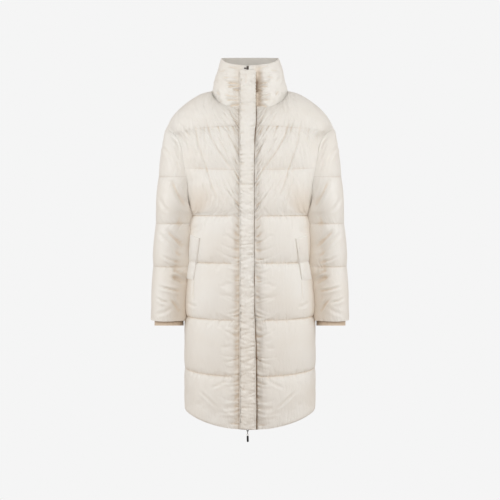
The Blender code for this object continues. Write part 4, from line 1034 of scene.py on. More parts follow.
def sleeve_form(step):
    """A sleeve on the left side of the body before it settles."""
    rng = np.random.default_rng(23)
    heights, underarm = sleeve_rows(step)
    turns = np.linspace(-1, 1, 2 * round(SLEEVE_ROUND / step / 2) + 1)
    base = sleeve_section(heights, turns)
    outward = surface_normals(base, 1)
    joined = unit(outward[underarm + 1 :, 0] + outward[underarm + 1 :, -1])
    outward[underarm + 1 :, 0] = outward[underarm + 1 :, -1] = joined
    outward = unit(outward * (1, 1, 0.3))
    seam = column(ARMS, "seam", heights)[:, None]
    angle = np.radians(turns * seam)
    line = np.clip(np.searchsorted(-np.array(SLEEVE_LINES), -heights, side="right") - 1, 0, 3)
    upper, lower = np.array(SLEEVE_LINES)[line], np.array(SLEEVE_LINES)[line + 1]
    flat = np.where(np.cos(angle) > 0, SLEEVE_PUFF_OUTER, SLEEVE_PUFF_INNER) * np.abs(np.cos(angle))
    height = puff_profile((upper - heights) / (upper - lower))[:, None]
    ending = (heights < (SLEEVE_LINES[-2] + SLEEVE_LINES[-1]) / 2)[:, None]
    height = np.where(ending, OPEN_PUFF + (1 - OPEN_PUFF) * height, height)
    height = height * (np.abs(np.sin(angle)) * SLEEVE_PUFF_FRONT + flat)
    height *= np.where(seam < 179, ease((1 - np.abs(turns)) * seam / 38), 1.0)
    height -= press(base, SLEEVE_FOLDS) * ease(height / THIN)
    outer = base + outward * height[..., None]
    inner = base - outward * WALL
    for edge, forward in ((0, -1), (-1, 1)):
        arms, outs = armhole(heights[: underarm + 1], forward)
        outs[-1] = (-0.7, 0, -0.7)
        aside = seam_aside(arms, outs, (1.0, 0, -0.05))
        aside[0], aside[-1] = (0.5, 0, -0.5), (1, 0, 0)
        outer[: underarm + 1, edge] = arms + aside * GAP / 2
        inner[: underarm + 1, edge] = outer[: underarm + 1, edge] - outs * WALL
    outer[0], inner[0] = outer[0, 0], inner[0, 0]
    loose = 0.12 + 0.88 * np.abs(np.sin(angle))
    loose[0] = loose[-1] = loose[:, 0] = loose[:, -1] = 0

    across = lengths(base, 1)
    across -= across[:, -1:] / 2
    down = -heights[:, None] * np.ones_like(turns)
    lines = [-line for line in SLEEVE_LINES[1:-1]]
    span = (-SLEEVE_ROUND / 2, SLEEVE_ROUND / 2)
    pucker = gathers(across, down, span, rng, *SLEEVE_GATHERS, seams=[*lines, -SLEEVE_LINES[-1]])
    past = np.minimum(1 + turns, 1 - turns) * across[:, -1:]
    cap = (heights > LINES[UNDERARM - 1].side)[:, None]
    for half in (turns < 0, turns > 0):
        rise = gathers(down, past, CAP_SPAN, rng, *CAP_GATHERS, 0.25, sides=[1])
        pucker += np.where(half & cap, rise, 0)
    change = (drift(rng, -heights, turns, *SLEEVE_DRIFT) - pucker) * ease(height / 0.003)
    outer += outward * (change * (loose > 0))[..., None]
    front, behind, wide = (column(SECTIONS, name, heights)[:, None] for name in ("front", "back", "width"))
    deep = np.where(outer[..., 1] < 0, front, behind)
    side = (1 - (np.abs(outer[..., 1]) / deep) ** ROUND) ** (1 / ROUND) * wide
    channels = np.interp(-heights, [-line.side for line in LINES], [line.channel for line in LINES])
    side += BODY_SWELL * puff_profile(channels % 1)[:, None] - BODY_PRESSED
    resting = ease((column(SLEEVE_REST, "turn", heights)[:, None] - np.cos(angle)) / 0.40)
    resting *= column(SLEEVE_REST, "share", heights)[:, None]
    resting = np.where(seam < 179, resting * ease((1 - np.abs(turns)) * seam / 10), resting)
    outer[..., 0] -= resting * (outer[..., 0] - side)

    pinned = np.zeros(angle.shape)
    pinned[heights > CAP_PINNED] = 1
    for held in SLEEVE_LINES[1:]:
        pinned[np.argmin(np.abs(heights - held))] = 1
    pinned[:, 0] = pinned[:, -1] = 1
    stitched = np.abs(heights[:, None] - np.array(SLEEVE_LINES[1:])).min(axis=1)
    stitched = stitched[:, None] * np.ones_like(turns)
    gathered = np.exp(-stitched / GATHER_REACH)
    # painted shade on the inside of the sleeve and lower down, more where it rests against the body
    shade = SLEEVE_SHADE * ease((0.30 - np.cos(angle)) / 1.1) * ease((-0.28 - heights[:, None]) / 0.30)
    shade = np.minimum(shade + REST_SHADE * resting, SLEEVE_DARKEST)
    seam = (stitched < 1e-9) * 1.0
    seam[-1] = 0
    quilted = [(np.argmin(np.abs(heights - held)), 1.0) for held in SLEEVE_LINES[1:-1]]
    return Form(-heights, turns, outer, inner, outward, pinned, gathered, loose, shade, seam, quilted)


moved = settled("sleeve", sleeve_form, 1)
for side, hand in (("right", -1), ("left", 1)):
    sleeve = sewn(f"sleeve_{side}_panel", sleeve_form(FINE), moved, SLEEVE_CREASES, hand=hand)
    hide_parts(f"sleeve_{side}")
    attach(sleeve, "coat")

# ---- Collar ----
# A standing collar in one padded piece round the neck, sewn to the neck seam and left soft enough to crease
# where it is pinched beside the zip.
TOP_WIDTH, TOP_FRONT, TOP_BACK = 0.0830, 0.080, 0.066
TOP_HEIGHT, TOP_DROP, TOP_RISE = 0.0945, 0.0295, 0.0085
COLLAR_PUFF, COLLAR_PINCH = 0.0038, 0.0038
COLLAR_STEP = 0.0023
COLLAR_HIGH, COLLAR_QUARTER = 0.125, 0.155  # its height at the front, and a quarter of its way round
Well = namedtuple("Well", "x breadth depth")
COLLAR_WELL = Well(0.0245, 0.0090, 0.0100)  # the hollow beside the flap's free edge
NECK_GATHERS, NECK_SPAN = (0.016, 0.0012, 0.014), (0.0, 0.62)
COLLAR_DROPS, COLLAR_RISES, COLLAR_SPAN = (0.011, 0.0020, 0.022), (0.013, 0.0014, 0.024), (-0.07, 0.09)
COLLAR_DRIFT = (((8, 34), 0.0008), ((4, 12), 0.0012))
# How dark the painted shadow is beside the flap's free and stitched edges, in the folds there, and where it
# is pinched
EDGE_SHADOWS, FOLD_SHADOWS, PINCH_SHADOW = (1.46, 1.05), (1.5, 1.2), 1.42
COLLAR_CREASES = [
    Crease(0.0031, 0.0063, 0.0042, [(0.0620, 0.0094), (0.0490, 0.0061), (0.0200, 0.0077)]),
    Crease(0.0029, 0.0042, 0.0032, [(0.0650, 0.0135), (0.0450, 0.0150), (0.0200, 0.0130)]),
    Crease(0.0027, 0.0045, 0.0035, [(0.0437, -0.0014), (0.0320, -0.0045), (0.0200, -0.0050)]),
    Crease(0.0029, 0.0050, 0.0032, [(0.0600, -0.0540), (0.0410, -0.0465), (0.0200, -0.0450)]),
    Crease(0.0034, 0.0035, 0.0025, [(0.0680, -0.0150), (0.0470, -0.0205), (0.0220, -0.0270)]),
    Crease(0.0034, 0.0035, 0.0025, [(0.0771, 0.0299), (0.0480, 0.0335), (0.0220, 0.0294)]),
    Crease(0.0031, 0.0032, 0.0022, [(0.0700, 0.0250), (0.0492, 0.0165), (0.0269, 0.0119)]),
    Crease(0.0031, 0.0028, 0.0018, [(0.0617, 0.0665), (0.0408, 0.0604), (0.0241, 0.0549)]),
    Crease(0.0043, 0.0037, 0.0022, [(0.0900, -0.0020), (0.0850, -0.0100), (0.0789, -0.0190)]),
    Crease(0.0031, 0.0025, 0.0020, [(0.0680, 0.0430), (0.0480, 0.0400), (0.0260, 0.0400)]),
    Crease(0.0029, 0.0032, 0.0025, [(0.0653, -0.0330), (0.0430, -0.0320), (0.0220, -0.0370)]),
    Crease(0.0029, 0.0028, 0.0022, [(0.0590, -0.0080), (0.0430, -0.0130), (0.0240, -0.0150)]),
    Crease(0.0040, 0.0014, 0.0010, [(0.0840, -0.0320), (0.0780, -0.0345), (0.0700, -0.0370)]),
    Crease(0.0043, 0.0020, 0.0013, [(0.0930, 0.0350), (0.0880, 0.0280), (0.0800, 0.0200)]),
    Crease(0.0034, 0.0020, 0.0015, [(0.0880, 0.0560), (0.0760, 0.0520), (0.0600, 0.0530)]),
]


def collar_point(angle, up):
    """Points of the collar at the stitched level, from the neck seam (0) to its top edge (1)."""
    low, ahead = neck(angle)[0], np.cos(angle)
    depth = np.where(ahead > 0, TOP_FRONT, TOP_BACK)
    tilt = np.where(ahead > 0, TOP_DROP, TOP_RISE)
    top = np.stack([TOP_WIDTH * np.sin(angle), -depth * ahead, TOP_HEIGHT - tilt * ahead], axis=-1)
    return low + (top - low) * np.asarray(up)[..., None]


def collar_form(step):
    """The collar, which keeps its form without settling."""
    rng = np.random.default_rng(31)
    ups = np.linspace(0, 1, round(COLLAR_HIGH / step) + 1)
    share = np.linspace(0, 1, round(COLLAR_QUARTER / step) + 1)
    angles = []
    for up in ups:
        narrowing = NECK_WIDTH / (NECK_WIDTH + (TOP_WIDTH - NECK_WIDTH) * up)
        left, right = (neck_angle((SLOT + side * CENTRE) * narrowing, share) for side in (1, -1))
        behind = math.pi - neck_angle(0.0, share[::-1])
        row = np.concatenate([left, behind[1:], 2 * math.pi - behind[-2::-1], 2 * math.pi - right[-2::-1]])
        angles.append(row)
    angles = np.array(angles)[::-1]
    ups = ups[::-1]
    base = collar_point(angles, ups[:, None] * np.ones_like(angles))
    outward = unit(np.stack([np.sin(angles), -np.cos(angles), np.full_like(angles, 0.28)], axis=-1))
    outward[:, 0, 0] = outward[:, -1, 0] = 0.0
    across = lengths(base, 1)
    edge = np.minimum(across, across[:, -1:] - across)
    height = COLLAR_PUFF * np.sin(math.pi * ups)[:, None] * (0.25 + 0.75 * ease(edge / 0.06))
    ahead = np.abs(np.cos(angles))
    height *= (0.15 + 0.85 * ahead) * (1 - (1 - ahead) * (1 - ease((ups[:, None] + 0.04) / 0.30)))
    height -= COLLAR_PINCH * ease(1.2 - edge / 0.09) * fade(ups[:, None] - 0.5, 0.13)
    x, level, in_front = base[..., 0], base[..., 2], base[..., 1] < 0
    folds = press(base, COLLAR_CREASES, CENTRE) * in_front
    height -= folds
    fold_in = 0.0016 * np.exp((ups[:, None] - 1) / 0.02)
    pucker = gathers(across, -level, NECK_SPAN, rng, *NECK_GATHERS, seams=[-level[-1]], sides=[-1])
    pucker *= 0.3 + 0.7 * ease(ahead / 0.7)
    side_pucker = gathers(level, edge - 0.020, COLLAR_SPAN, rng, *COLLAR_DROPS, 0.2, sides=[1])
    side_pucker -= gathers(level, edge - 0.020, COLLAR_SPAN, rng, *COLLAR_RISES, 0.0, sides=[1])
    pucker += side_pucker * in_front
    change = drift(rng, -ups, angles[0], *COLLAR_DRIFT) - pucker
    change = change * np.sin(math.pi * ups)[:, None] ** 0.5 * ease(edge / 0.012)
    outer = base + outward * (height + change - fold_in)[..., None]
    well = fade(x - COLLAR_WELL.x, COLLAR_WELL.breadth) * in_front
    well *= COLLAR_WELL.depth * ease((1 - ups[:, None]) / 0.22) * ease(ups[:, None] / 0.15)
    outer = outer - outward * well[..., None]
    inner = base - outward * (WALL + well)[..., None]
    foot, outs, into = neck(angles[-1])
    outs[0, 0] = outs[-1, 0] = 0.0
    outer[-1] = foot - into * GAP / 2
    inner[-1] = outer[-1] - outs * WALL
    loose = np.ones(angles.shape)
    loose[-1] = loose[:, 0] = loose[:, -1] = 0
    gathered = 0.8 * np.exp(-edge / 0.03) + 0.3 * np.exp((ups[:, None] - 1) / 0.1)
    # painted shade in the hollow beside the flap's free edge and near the collar's front ends
    shade = 0.9 * well / COLLAR_WELL.depth + 0.35 * fade(edge - 0.022, 0.011) * in_front
    # painted shadow beside the flap's edges, in the folds there and in the pinch, carried in the seam mark
    past = [x - FLAP_RIGHT[0].x, FLAP_LEFT - x]  # how far beyond the flap's free and stitched edges
    shadows = [dark * (1 - ease((off - 0.0008) / 0.0060)) for off, dark in zip(past, EDGE_SHADOWS)]
    fold_shade = [dark * fade(off, 0.018) for off, dark in zip(past, FOLD_SHADOWS)]
    pinch_shade = fade(past[0] - 0.004, 0.010) * fade(level - 0.012, 0.024, 4)
    seam = np.where(x > CENTRE, *shadows)
    seam = np.maximum(seam, np.where(x > CENTRE, *fold_shade) * ease(folds / 0.0040))
    seam = np.maximum(seam, PINCH_SHADOW * pinch_shade)
    seam *= in_front * ease((0.050 - level) / 0.005)
    return Form(-ups, angles[0], outer, inner, outward, 1 - loose, gathered, loose, shade, seam, [])


collar = sewn("collar_panel", collar_form(COLLAR_STEP), 0, [])
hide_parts("collar")
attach(collar, "coat")

# ---- Storm flap ----
# A padded strip that hides the zip: stitched down the right front by its left edge and closed with hidden
# snaps. A cross seam at the neck parts it, and both edges are topstitched.
FLAP_TOP, FLAP_JOIN, FLAP_FOOT = 0.052, -0.0403, -0.9498
FLAP_THICK, FLAP_EDGE = 0.0066, 0.0048
FLAP_SEAT, FLAP_STAND, FLAP_STAND_COLLAR, FLAP_STAND_LOW = 0.0006, 0.0030, 0.0065, 0.0075
FLAP_REACH = 0.005
FLAP_STEP = 0.0020
FLAP_CORNER = 0.0060
FLAP_WIDE = 0.0445
FLAP_SEAM_IN, FLAP_GROOVE = 0.0032, 0.0008  # from either edge to its topstitching, and how broad that is
FLAP_COLUMNS = [0, 0.0008, 0.0018, 0.0027, FLAP_SEAM_IN, 0.0038, 0.0050, 0.0072, 0.0100, 0.0135, 0.0175]
FLAP_GATHERS, FLAP_LEANS = (0.011, 0.0030, 0.0120), (0.45, -0.10)
FLAP_LEAST, FLAP_FREE_END, FLAP_SEWN_END = 0.0014, 0.0016, 0.0045  # how thick it still is
FLAP_EDGE_SHADOWS = (1.15, 1.45)  # how dark the painted shadow on its stitched and on its free edge is
SNAPS = [-0.0478, -0.2438, -0.4448, -0.6000, -0.7561]
SNAP_DENT, SNAP_ROUND, SNAP_RIM = 0.0009, 0.0042, 0.0016
FLAP_CREASES = [
    Crease(0.0030, 0.0016, 0.0010, [(0.020, 0.0080), (0.008, 0.0150), (0.000, 0.0240)]),
    Crease(0.0030, 0.0014, 0.0010, [(0.018, -0.0010), (0.008, 0.0040), (0.001, 0.0110)]),
]


def ray_tree(piece):
    """A finished piece's surface, as a ray meets it."""
    form = bmesh.new()
    form.from_mesh(piece.data)
    tree = BVHTree.FromBMesh(form)
    form.free()
    return tree


def surface_ahead(pieces):
    """A finder of how far forward some pieces reach at a place across and up."""
    trees = [ray_tree(piece) for piece in pieces]

    def foremost(x, z):
        hits = [tree.ray_cast(Vector((x, -1.0, z)), Vector((0, 1, 0)))[0] for tree in trees]
        return min((hit.y for hit in hits if hit), default=np.nan)

    return foremost


def smoothed(values, times):
    for _ in range(times):
        ends = np.concatenate([values[:1], values, values[-1:]])
        values = (ends[:-2] + 2 * ends[1:-1] + ends[2:]) / 4
    return values


def flap_piece(name, under, foot, head, seed, round_corner=False):
    """One part of the flap, laid over what is under it, with a finder of that as surface_ahead makes it."""
    rng = np.random.default_rng(seed)
    count = round((head - foot) / FLAP_STEP)
    heights = np.linspace(head, foot, count + 1)
    near_edge = np.array(FLAP_COLUMNS)
    across = np.concatenate([near_edge, [FLAP_WIDE / 2], FLAP_WIDE - near_edge[::-1]])
    share = across / FLAP_WIDE
    cut = np.zeros(len(heights))
    if round_corner:
        near_top = np.clip(FLAP_CORNER - (head - heights), 0, FLAP_CORNER)
        cut = FLAP_CORNER - np.sqrt(FLAP_CORNER**2 - near_top**2)
    free = column(FLAP_RIGHT, "x", heights) + drift(rng, -heights, np.zeros(1), ((36, 2), 0.0009))[:, 0]
    x = FLAP_LEFT + share[None] * (free - cut - FLAP_LEFT)[:, None]
    probes = np.linspace(FLAP_LEFT, FLAP_RIGHT[-1].x, 8)
    steps = np.linspace(-FLAP_REACH, FLAP_REACH, 5)
    seat = [[np.nanmin([under(p, z + step) for step in steps] + [9.0]) for p in probes] for z in heights]
    seat = np.where(np.array(seat) > 1, np.nan, seat)
    for row in seat:
        known = ~np.isnan(row)
        row[~known] = np.interp(probes[~known], probes[known], row[known])
    seat = np.minimum(seat, smoothed(seat, 6))
    seat = smoothed(seat, 2)
    chord = np.minimum(seat, seat[:, :1] + (seat[:, -1:] - seat[:, :1]) * np.linspace(0, 1, len(probes)))
    chord = np.array([np.interp(row, probes, depth) for row, depth in zip(x, chord)])
    stand = FLAP_STAND + (FLAP_STAND_COLLAR - FLAP_STAND) * ease((heights + 0.11) / 0.07)
    stand += (FLAP_STAND_LOW - FLAP_STAND) * ease((-0.52 - heights) / 0.10)
    rear = chord - FLAP_SEAT - (stand[:, None] - FLAP_SEAT) * ease(share)
    from_edge = np.minimum(across, FLAP_WIDE - across)
    groove = fade(from_edge - FLAP_SEAM_IN, FLAP_GROOVE)
    thick = FLAP_EDGE + (FLAP_THICK - FLAP_EDGE) * np.sin(math.pi * share) ** 0.5 - 0.0006 * groove
    thick = np.where(from_edge < 0.0002, 0.0012, thick)[None] * np.ones(x.shape)
    down = (head - heights)[:, None] * np.ones(x.shape)
    for near in (across, FLAP_WIDE - across):
        past = (near - FLAP_SEAM_IN)[None] * np.ones(x.shape)
        for lean in FLAP_LEANS:
            puckers = gathers(down, past, (0, head - foot), rng, *FLAP_GATHERS, lean)
            thick -= puckers * ease(from_edge / 0.0065)
    level = np.stack([x, rear, heights[:, None] * np.ones(x.shape)], axis=-1)
    cells = (max(4, round((head - foot) / 0.014)), 5)
    thick += drift(rng, -heights, across, (cells, 0.0022)) * np.sin(math.pi * share)
    thick -= press(level, FLAP_CREASES, CENTRE) * round_corner
    for snap in SNAPS:
        off = np.hypot(x - CENTRE - 0.0005, heights[:, None] - snap)
        thick -= SNAP_DENT * fade(off, SNAP_ROUND, 4)
        thick += 0.5 * SNAP_DENT * fade(off - SNAP_ROUND * 1.5, SNAP_RIM)
    thick = np.maximum(thick, FLAP_LEAST)
    for row, free_end in ((0, round_corner), (-1, not round_corner)):
        thick[row] = np.minimum(thick[row], FLAP_FREE_END if free_end else FLAP_SEWN_END)
    inner = level
    outer = level - thick[..., None] * np.array([0, 1, 0])
    gathered = 0.35 + 0.65 * np.exp(-np.abs(from_edge - FLAP_SEAM_IN) / 0.012)[None] * np.ones(x.shape)
    # painted shade: darker toward the bottom, along both edges and in its hollows
    tucked = 0.14 * ease((-0.45 - heights) / 0.35)[:, None] + 0.30 * (from_edge < 0.0015)[None]
    tucked = tucked + 0.5 * hollows(outer, np.zeros(outer.shape) - (0, 1, 0))
    seam = 0.98 * groove[None] * np.ones(x.shape)
    seam[:, 0], seam[:, -1] = FLAP_EDGE_SHADOWS
    outs = np.zeros((len(heights), 3)) - (0, 1, 0)
    stitches(name.replace("panel", "stitches"), [(outer[:, 4], outs), (outer[:, -5], outs)])
    return wall(name, outer, inner, shell_cloth, gathered=gathered, tucked=tucked, seam=seam)


under_flap = surface_ahead([fronts["right"], fronts["left"], collar])
flap_lower = flap_piece("storm_flap_panel", under_flap, FLAP_FOOT, FLAP_JOIN - GAP / 2, 41)
flap_upper = flap_piece("storm_flap_collar_panel", under_flap, FLAP_JOIN + GAP / 2, FLAP_TOP, 43, True)
for flap, node in ((flap_lower, "storm_flap"), (flap_upper, "storm_flap_collar")):
    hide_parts(node)
    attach(flap, "coat")

# ---- Pocket welts ----
# A padded welt stands over each hand pocket, stitched down along its slanting inner line and its two ends.
WELT_TOP, WELT_BOTTOM = -0.411, -0.537
WELT_TOP_AT, WELT_BOTTOM_AT = 0.1330, 0.1515  # how far the inner line's ends lie from the middle
WELT_BREADTH, WELT_THICK, WELT_EDGE = 0.046, 0.0056, 0.0018
WELT_TOP_DROP, WELT_SEAT, WELT_REACH = 0.009, 0.0005, 0.005
WELT_ROWS, WELT_COLUMNS = 48, 20
WELT_SUNK = 0.0018  # its edges are stitched down this far into the padded front
WELT_SEAM_IN, WELT_GROOVE = 0.0040, 0.0012  # from its edges to the stitching, and how broad that is
WELT_GATHERS = (0.010, 0.0008, 0.012)


def pocket_welt(name, hand, front):
    """A welt bent round the finished front that it is stitched to."""
    tree = ray_tree(front)
    outer = np.zeros((WELT_ROWS + 1, WELT_COLUMNS + 1, 3))
    inner, seam = outer.copy(), outer[..., 0].copy()
    reach = [Vector((0, 0, step)) for step in (-WELT_REACH, 0, WELT_REACH)]
    for r, down in enumerate(np.linspace(0, 1, WELT_ROWS + 1)):
        level = WELT_TOP + (WELT_BOTTOM - WELT_TOP) * down
        stitched = Vector((CENTRE + hand * (WELT_TOP_AT + (WELT_BOTTOM_AT - WELT_TOP_AT) * down), -1, level))
        met = [tree.ray_cast(stitched + step, Vector((0, 1, 0)))[0] for step in reach]
        first = min(met, key=lambda point: point.y)
        start, radius = math.atan2(abs(first.x), -first.y), math.hypot(first.x, first.y)
        for c, share in enumerate(np.linspace(0, 1, WELT_COLUMNS + 1)):
            turn = start + WELT_BREADTH * share / radius
            axis = Vector((hand * math.sin(turn), -math.cos(turn), 0))
            lift = Vector((0, 0, level - WELT_TOP_DROP * (1 - share) * (1 - down)))
            starts = [axis * 0.3 + lift + step for step in reach]
            far = max((tree.ray_cast(place, -axis)[0] * Vector((1, 1, 0))).length for place in starts)
            swell = math.sin(math.pi * min(max(down, 0.35), 0.97)) ** 0.4
            swell *= 0.45 + 0.55 * math.sin(math.pi * (0.1 + 0.8 * share))
            from_edge = min(share, 1 - share) * WELT_BREADTH
            from_end = min(down, 1 - down) * (WELT_TOP - WELT_BOTTOM)
            near = min(from_edge, from_end)
            at_edge = near < 1e-6
            stitch = fade(near - WELT_SEAM_IN, WELT_GROOVE)
            thick = WELT_EDGE + (WELT_THICK - WELT_EDGE) * swell - 0.0010 * stitch
            local = (tree.ray_cast(starts[1], -axis)[0] * Vector((1, 1, 0))).length - WELT_SUNK
            inner[r, c] = axis * (local if at_edge else far + WELT_SEAT) + lift
            outer[r, c] = axis * (far + WELT_SEAT + thick * (0.7 if at_edge else 1)) + lift
            seam[r, c] = 0.6 * stitch
    rng = np.random.default_rng(47)
    across, down = lengths(outer, 1), lengths(outer, 0)
    change = gathers(down, across - WELT_SEAM_IN, (0, 0.13), rng, *WELT_GATHERS, seams=[0, 0.032])
    change[0] = change[-1] = change[:, 0] = change[:, -1] = 0
    outer -= unit(outer * (1, 1, 0)) * change[..., None]
    outs = unit(outer * (1, 1, 0))
    runs = [(outer[:, 2], outs[:, 2]), (outer[2, 2:], outs[2, 2:]), (outer[-3, 2:], outs[-3, 2:])]
    stitches(name.replace("panel", "stitches"), runs)
    if hand < 0:
        outer, inner, seam = (grid[:, ::-1] for grid in (outer, inner, seam))
    return wall(name, outer, inner, shell_cloth, gathered=0 * seam + 0.5, tucked=0 * seam, seam=seam)


for side, hand in (("right", -1), ("left", 1)):
    welt = pocket_welt(f"pocket_welt_{side}_panel", hand, fronts[side])
    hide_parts(f"pocket_welt_{side}")
    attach(welt, "coat")

# ---- Inner cuffs ----
# A band of the shell's lining cloth, in tones deepened partly by painted shade from the sleeve's end, sewn
# inside each sleeve near its end and gathered a little, so that it closes round the wrist and shows below the
# sleeve.
CUFF_TOP, CUFF_END = -0.628, -0.6775
CUFF_WALL, CUFF_INSET, CUFF_SLANT, CUFF_ASIDE = 0.0020, 0.0018, 0.007, 0.004
CUFF_ROUND, CUFF_LONG = 0.31, 0.05
CUFF_GATHERS = (0.011, 0.0010, 0.05)
CUFF_LOOSE, CUFF_DARK = -0.650, -0.669  # it hangs free below the one, and takes painted shade above the other
CUFF_SEAM_IN = 0.004
# tones deepened partly by painted shade; the third is the painted shade under the sleeve's end
CUFF_TONES_SHADED = ((0.760, 0.650, 0.540), (0.720, 0.600, 0.480), (0.150, 0.090, 0.050), SEAM_AND_SHADOW_DARK)
cuff_cloth = cloth_finish("cuff_cloth", CUFF_TONES_SHADED, 0.6, 0.05, pucker=0.0010)

for side, hand in (("right", -1), ("left", 1)):
    rng = np.random.default_rng(53)
    turns = np.linspace(-1, 1, 105)
    inside = np.linspace(CUFF_TOP, CUFF_TOP - 0.018, 7)
    heights = np.concatenate([inside, np.linspace(CUFF_TOP - 0.022, CUFF_END, 10)])
    inset = CUFF_INSET * ease((CUFF_TOP - 0.006 - heights) / 0.012)
    sunk = WALL + GAP + 0.0004 + inset[:, None]
    across = turns[None] * CUFF_ROUND / 2 * np.ones((len(heights), 1))
    past = (heights[:, None] - CUFF_END) * np.ones_like(across)
    ripple = gathers(across, past, (-0.16, 0.16), rng, *CUFF_GATHERS, sides=[1])
    ripple *= ease(inset[:, None] / 0.002)
    ripple[:, -1] = ripple[:, 0]
    places = np.maximum(heights, SLEEVE_LINES[-1])
    outer = sleeve_section(places, turns, sunk + ripple)
    inner = sleeve_section(places, turns, sunk + ripple + CUFF_WALL)
    slant = CUFF_SLANT * np.sin(turns * math.pi)[None] * ease((CUFF_LOOSE - heights) / 0.026)[:, None]
    for grid in (outer, inner):
        grid[..., 2] = heights[:, None] - slant
        grid[..., 0] -= CUFF_ASIDE * ease((CUFF_LOOSE - heights) / 0.012)[:, None]
        grid[..., 0] *= hand
    if hand < 0:
        outer, inner = outer[:, ::-1], inner[:, ::-1]
    # painted shade at the top of the band, under the sleeve's end
    shaded = ease((heights[:, None] - CUFF_DARK) / 0.008) + 0 * across
    seam = 0.7 * (np.abs(heights - CUFF_END - CUFF_SEAM_IN) < 0.002)[:, None] + 0 * across
    cuff = wall(
        f"inner_cuff_{side}_band", outer, inner, cuff_cloth,
        gathered=0 * across + 0.7, tucked=shaded, seam=seam,
    )
    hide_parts(f"inner_cuff_{side}")
    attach(cuff, "coat")

# ---- Zip ----
# A two-way zip: a woven tape behind the front edges, and a chain of moulded teeth in the slot between them.
CHAIN, CHAIN_SUNK = 0.0032, 0.0004
TAPE, TAPE_BEND, TAPE_THICK = 0.0120, 0.0015, 0.0010
TAPE_BEHIND = WALL + GAP + 0.0010
SLIDER_LONG = 0.0118
TOOTH, TOOTH_PITCH = (0.0040, 0.0019, 0.0017), 0.0027
TOOTH_ASIDE, TOOTH_BEHIND = 0.00115, CHAIN_SUNK + 0.0014
ZIP_TONES = ((0.730, 0.650, 0.550), (0.690, 0.600, 0.490), (0.500, 0.400, 0.300), SEAM_AND_SHADOW_DARK)

channels = rows_between(0, HEM, CHANNEL_EDGES, FINE)[::-1]
centre_line = body_base(-1, channels, CENTRE, np.array([0.0, 1.0]))[:, 0, 1:]
ups = np.linspace(0, 1, round(COLLAR_HIGH / FINE) + 1)[1:]
on_collar = collar_point(np.full(len(ups), math.asin(CENTRE / NECK_WIDTH)), ups)[:, 1:]
centre_line = np.concatenate([centre_line, on_collar])
foot, head = centre_line[0, 1] + SLIDER_LONG + 0.003, centre_line[-1, 1] - SLIDER_LONG


def along_centre(height):
    """Depth of the fronts' stitched level along the zip."""
    return np.interp(height, centre_line[:, 1], centre_line[:, 0])


heights = np.linspace(head, foot, 330)
x = np.array([-TAPE, -0.009, -0.006, -CHAIN, 0, CHAIN, 0.006, 0.009, TAPE])
deep = TAPE_BEHIND + TAPE_BEND * ease((np.abs(x) - CHAIN) / (TAPE - CHAIN))
ones = np.ones((len(heights), len(x)))
outer = np.stack([CENTRE + x * ones, along_centre(heights)[:, None] + deep, heights[:, None] * ones], axis=-1)
inner = outer + np.array([0, TAPE_THICK, 0])
tape_cloth = cloth_finish("zip_tape", ZIP_TONES, 0.65, 0.0, pitch=0.0011, thread=0.00008, pucker=0.0)
tape = wall("zip_tape_strip", outer, inner, tape_cloth, gathered=0 * ones, tucked=0 * ones, seam=0 * ones)
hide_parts("zip")
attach(tape, "coat")


def block(size, rounding, segments):
    """A small moulded block with rounded edges."""
    form = bmesh.new()
    bmesh.ops.create_cube(form, size=1.0)
    bmesh.ops.scale(form, vec=size, verts=form.verts)
    bmesh.ops.bevel(
        form, geom=form.edges, offset=rounding, segments=segments, affect="EDGES", profile=0.5, material=-1
    )
    return form


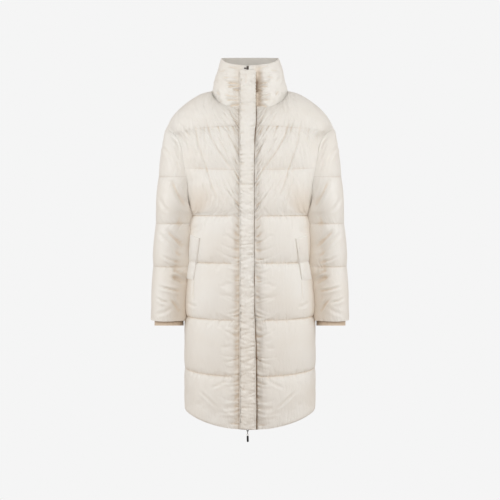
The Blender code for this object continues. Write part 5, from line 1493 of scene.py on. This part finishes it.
heights = np.arange(foot + 0.001, head - 0.001, TOOTH_PITCH / 2)
sides = np.where(np.arange(len(heights)) % 2, 1, -1)
frames = np.zeros((len(heights), 3, 4))
frames[:, :, :3] = np.eye(3)
frames[:, 0, 3] = CENTRE + sides * TOOTH_ASIDE
frames[:, 1, 3] = along_centre(heights) + TOOTH_BEHIND
frames[:, 2, 3] = heights
teeth_finish = cloth_finish("zip_teeth", ZIP_TONES, 0.4, 0.0, thread=0.0, pucker=0.0)
teeth = repeated("zip_teeth_chain", block(TOOTH, 0.0003, 1), frames, teeth_finish)
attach(teeth, "coat")

# ---- Zip sliders and pull ----
# Dark cast sliders at both ends of the zip, and the lower one's pull: a link, a pale wire ring and a
# rubber-dipped tab.


def moulded(title, colour, worn, roughness, metallic, grain, height, shine=0.5):
    """A cast or moulded finish: a fine grain, and a paler tone where it is rubbed."""
    made, tree, shader = new_material(title)
    grains = noise(tree, new_node(tree, "TexCoord").outputs["Object"], grain, 3.0)
    tone = mixed(tree, grains, colour, worn)
    feed(tree, shader, {"Base Color": tone, "Metallic": metallic, "Specular IOR Level": shine})
    surfaced(tree, shader, grains, roughness, 0.08, grains, height)
    return made


dark_metal = moulded("gunmetal", (0.055, 0.046, 0.040), (0.110, 0.095, 0.085), 0.35, 0.9, 900, 0.00004)
pale_metal = moulded("nickel", (0.720, 0.710, 0.690), (0.800, 0.790, 0.770), 0.28, 0.95, 900, 0.00003)
rubber = moulded("rubber_dip", (0.006, 0.006, 0.006), (0.016, 0.016, 0.017), 0.62, 0.0, 1400, 0.00005, 0.15)
finishes = {"slider_top": dark_metal, "slider_bottom": dark_metal, "pull_link": dark_metal,
            "pull_ring": pale_metal, "pull_tab": rubber}
for node, finish in finishes.items():
    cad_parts[node].data.materials.clear()
    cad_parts[node].data.materials.append(finish)

# The upper slider's two cast shoulders, which stand side by side before the right front's collar edge
SHOULDER_BLOCK, SHOULDER_ROUNDING, SHOULDER_PROUD = (0.0066, 0.0026, 0.0036), 0.0008, 0.0010
SHOULDERS_AT = {"left": (CENTRE - 0.0070, 0.0564), "right": (CENTRE - 0.0002, 0.0567)}
shoulder_seat = under_flap(CENTRE - 0.0064, 0.0570) - SHOULDER_PROUD
for side, (x, z) in SHOULDERS_AT.items():
    form = block(SHOULDER_BLOCK, SHOULDER_ROUNDING, 3)
    bmesh.ops.translate(form, vec=(x, shoulder_seat, z), verts=form.verts)
    shoulder = placed(f"slider_top_shoulder_{side}", meshed(f"slider_shoulder_{side}", form))
    shoulder.data.materials.append(dark_metal)
    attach(shoulder, "coat")
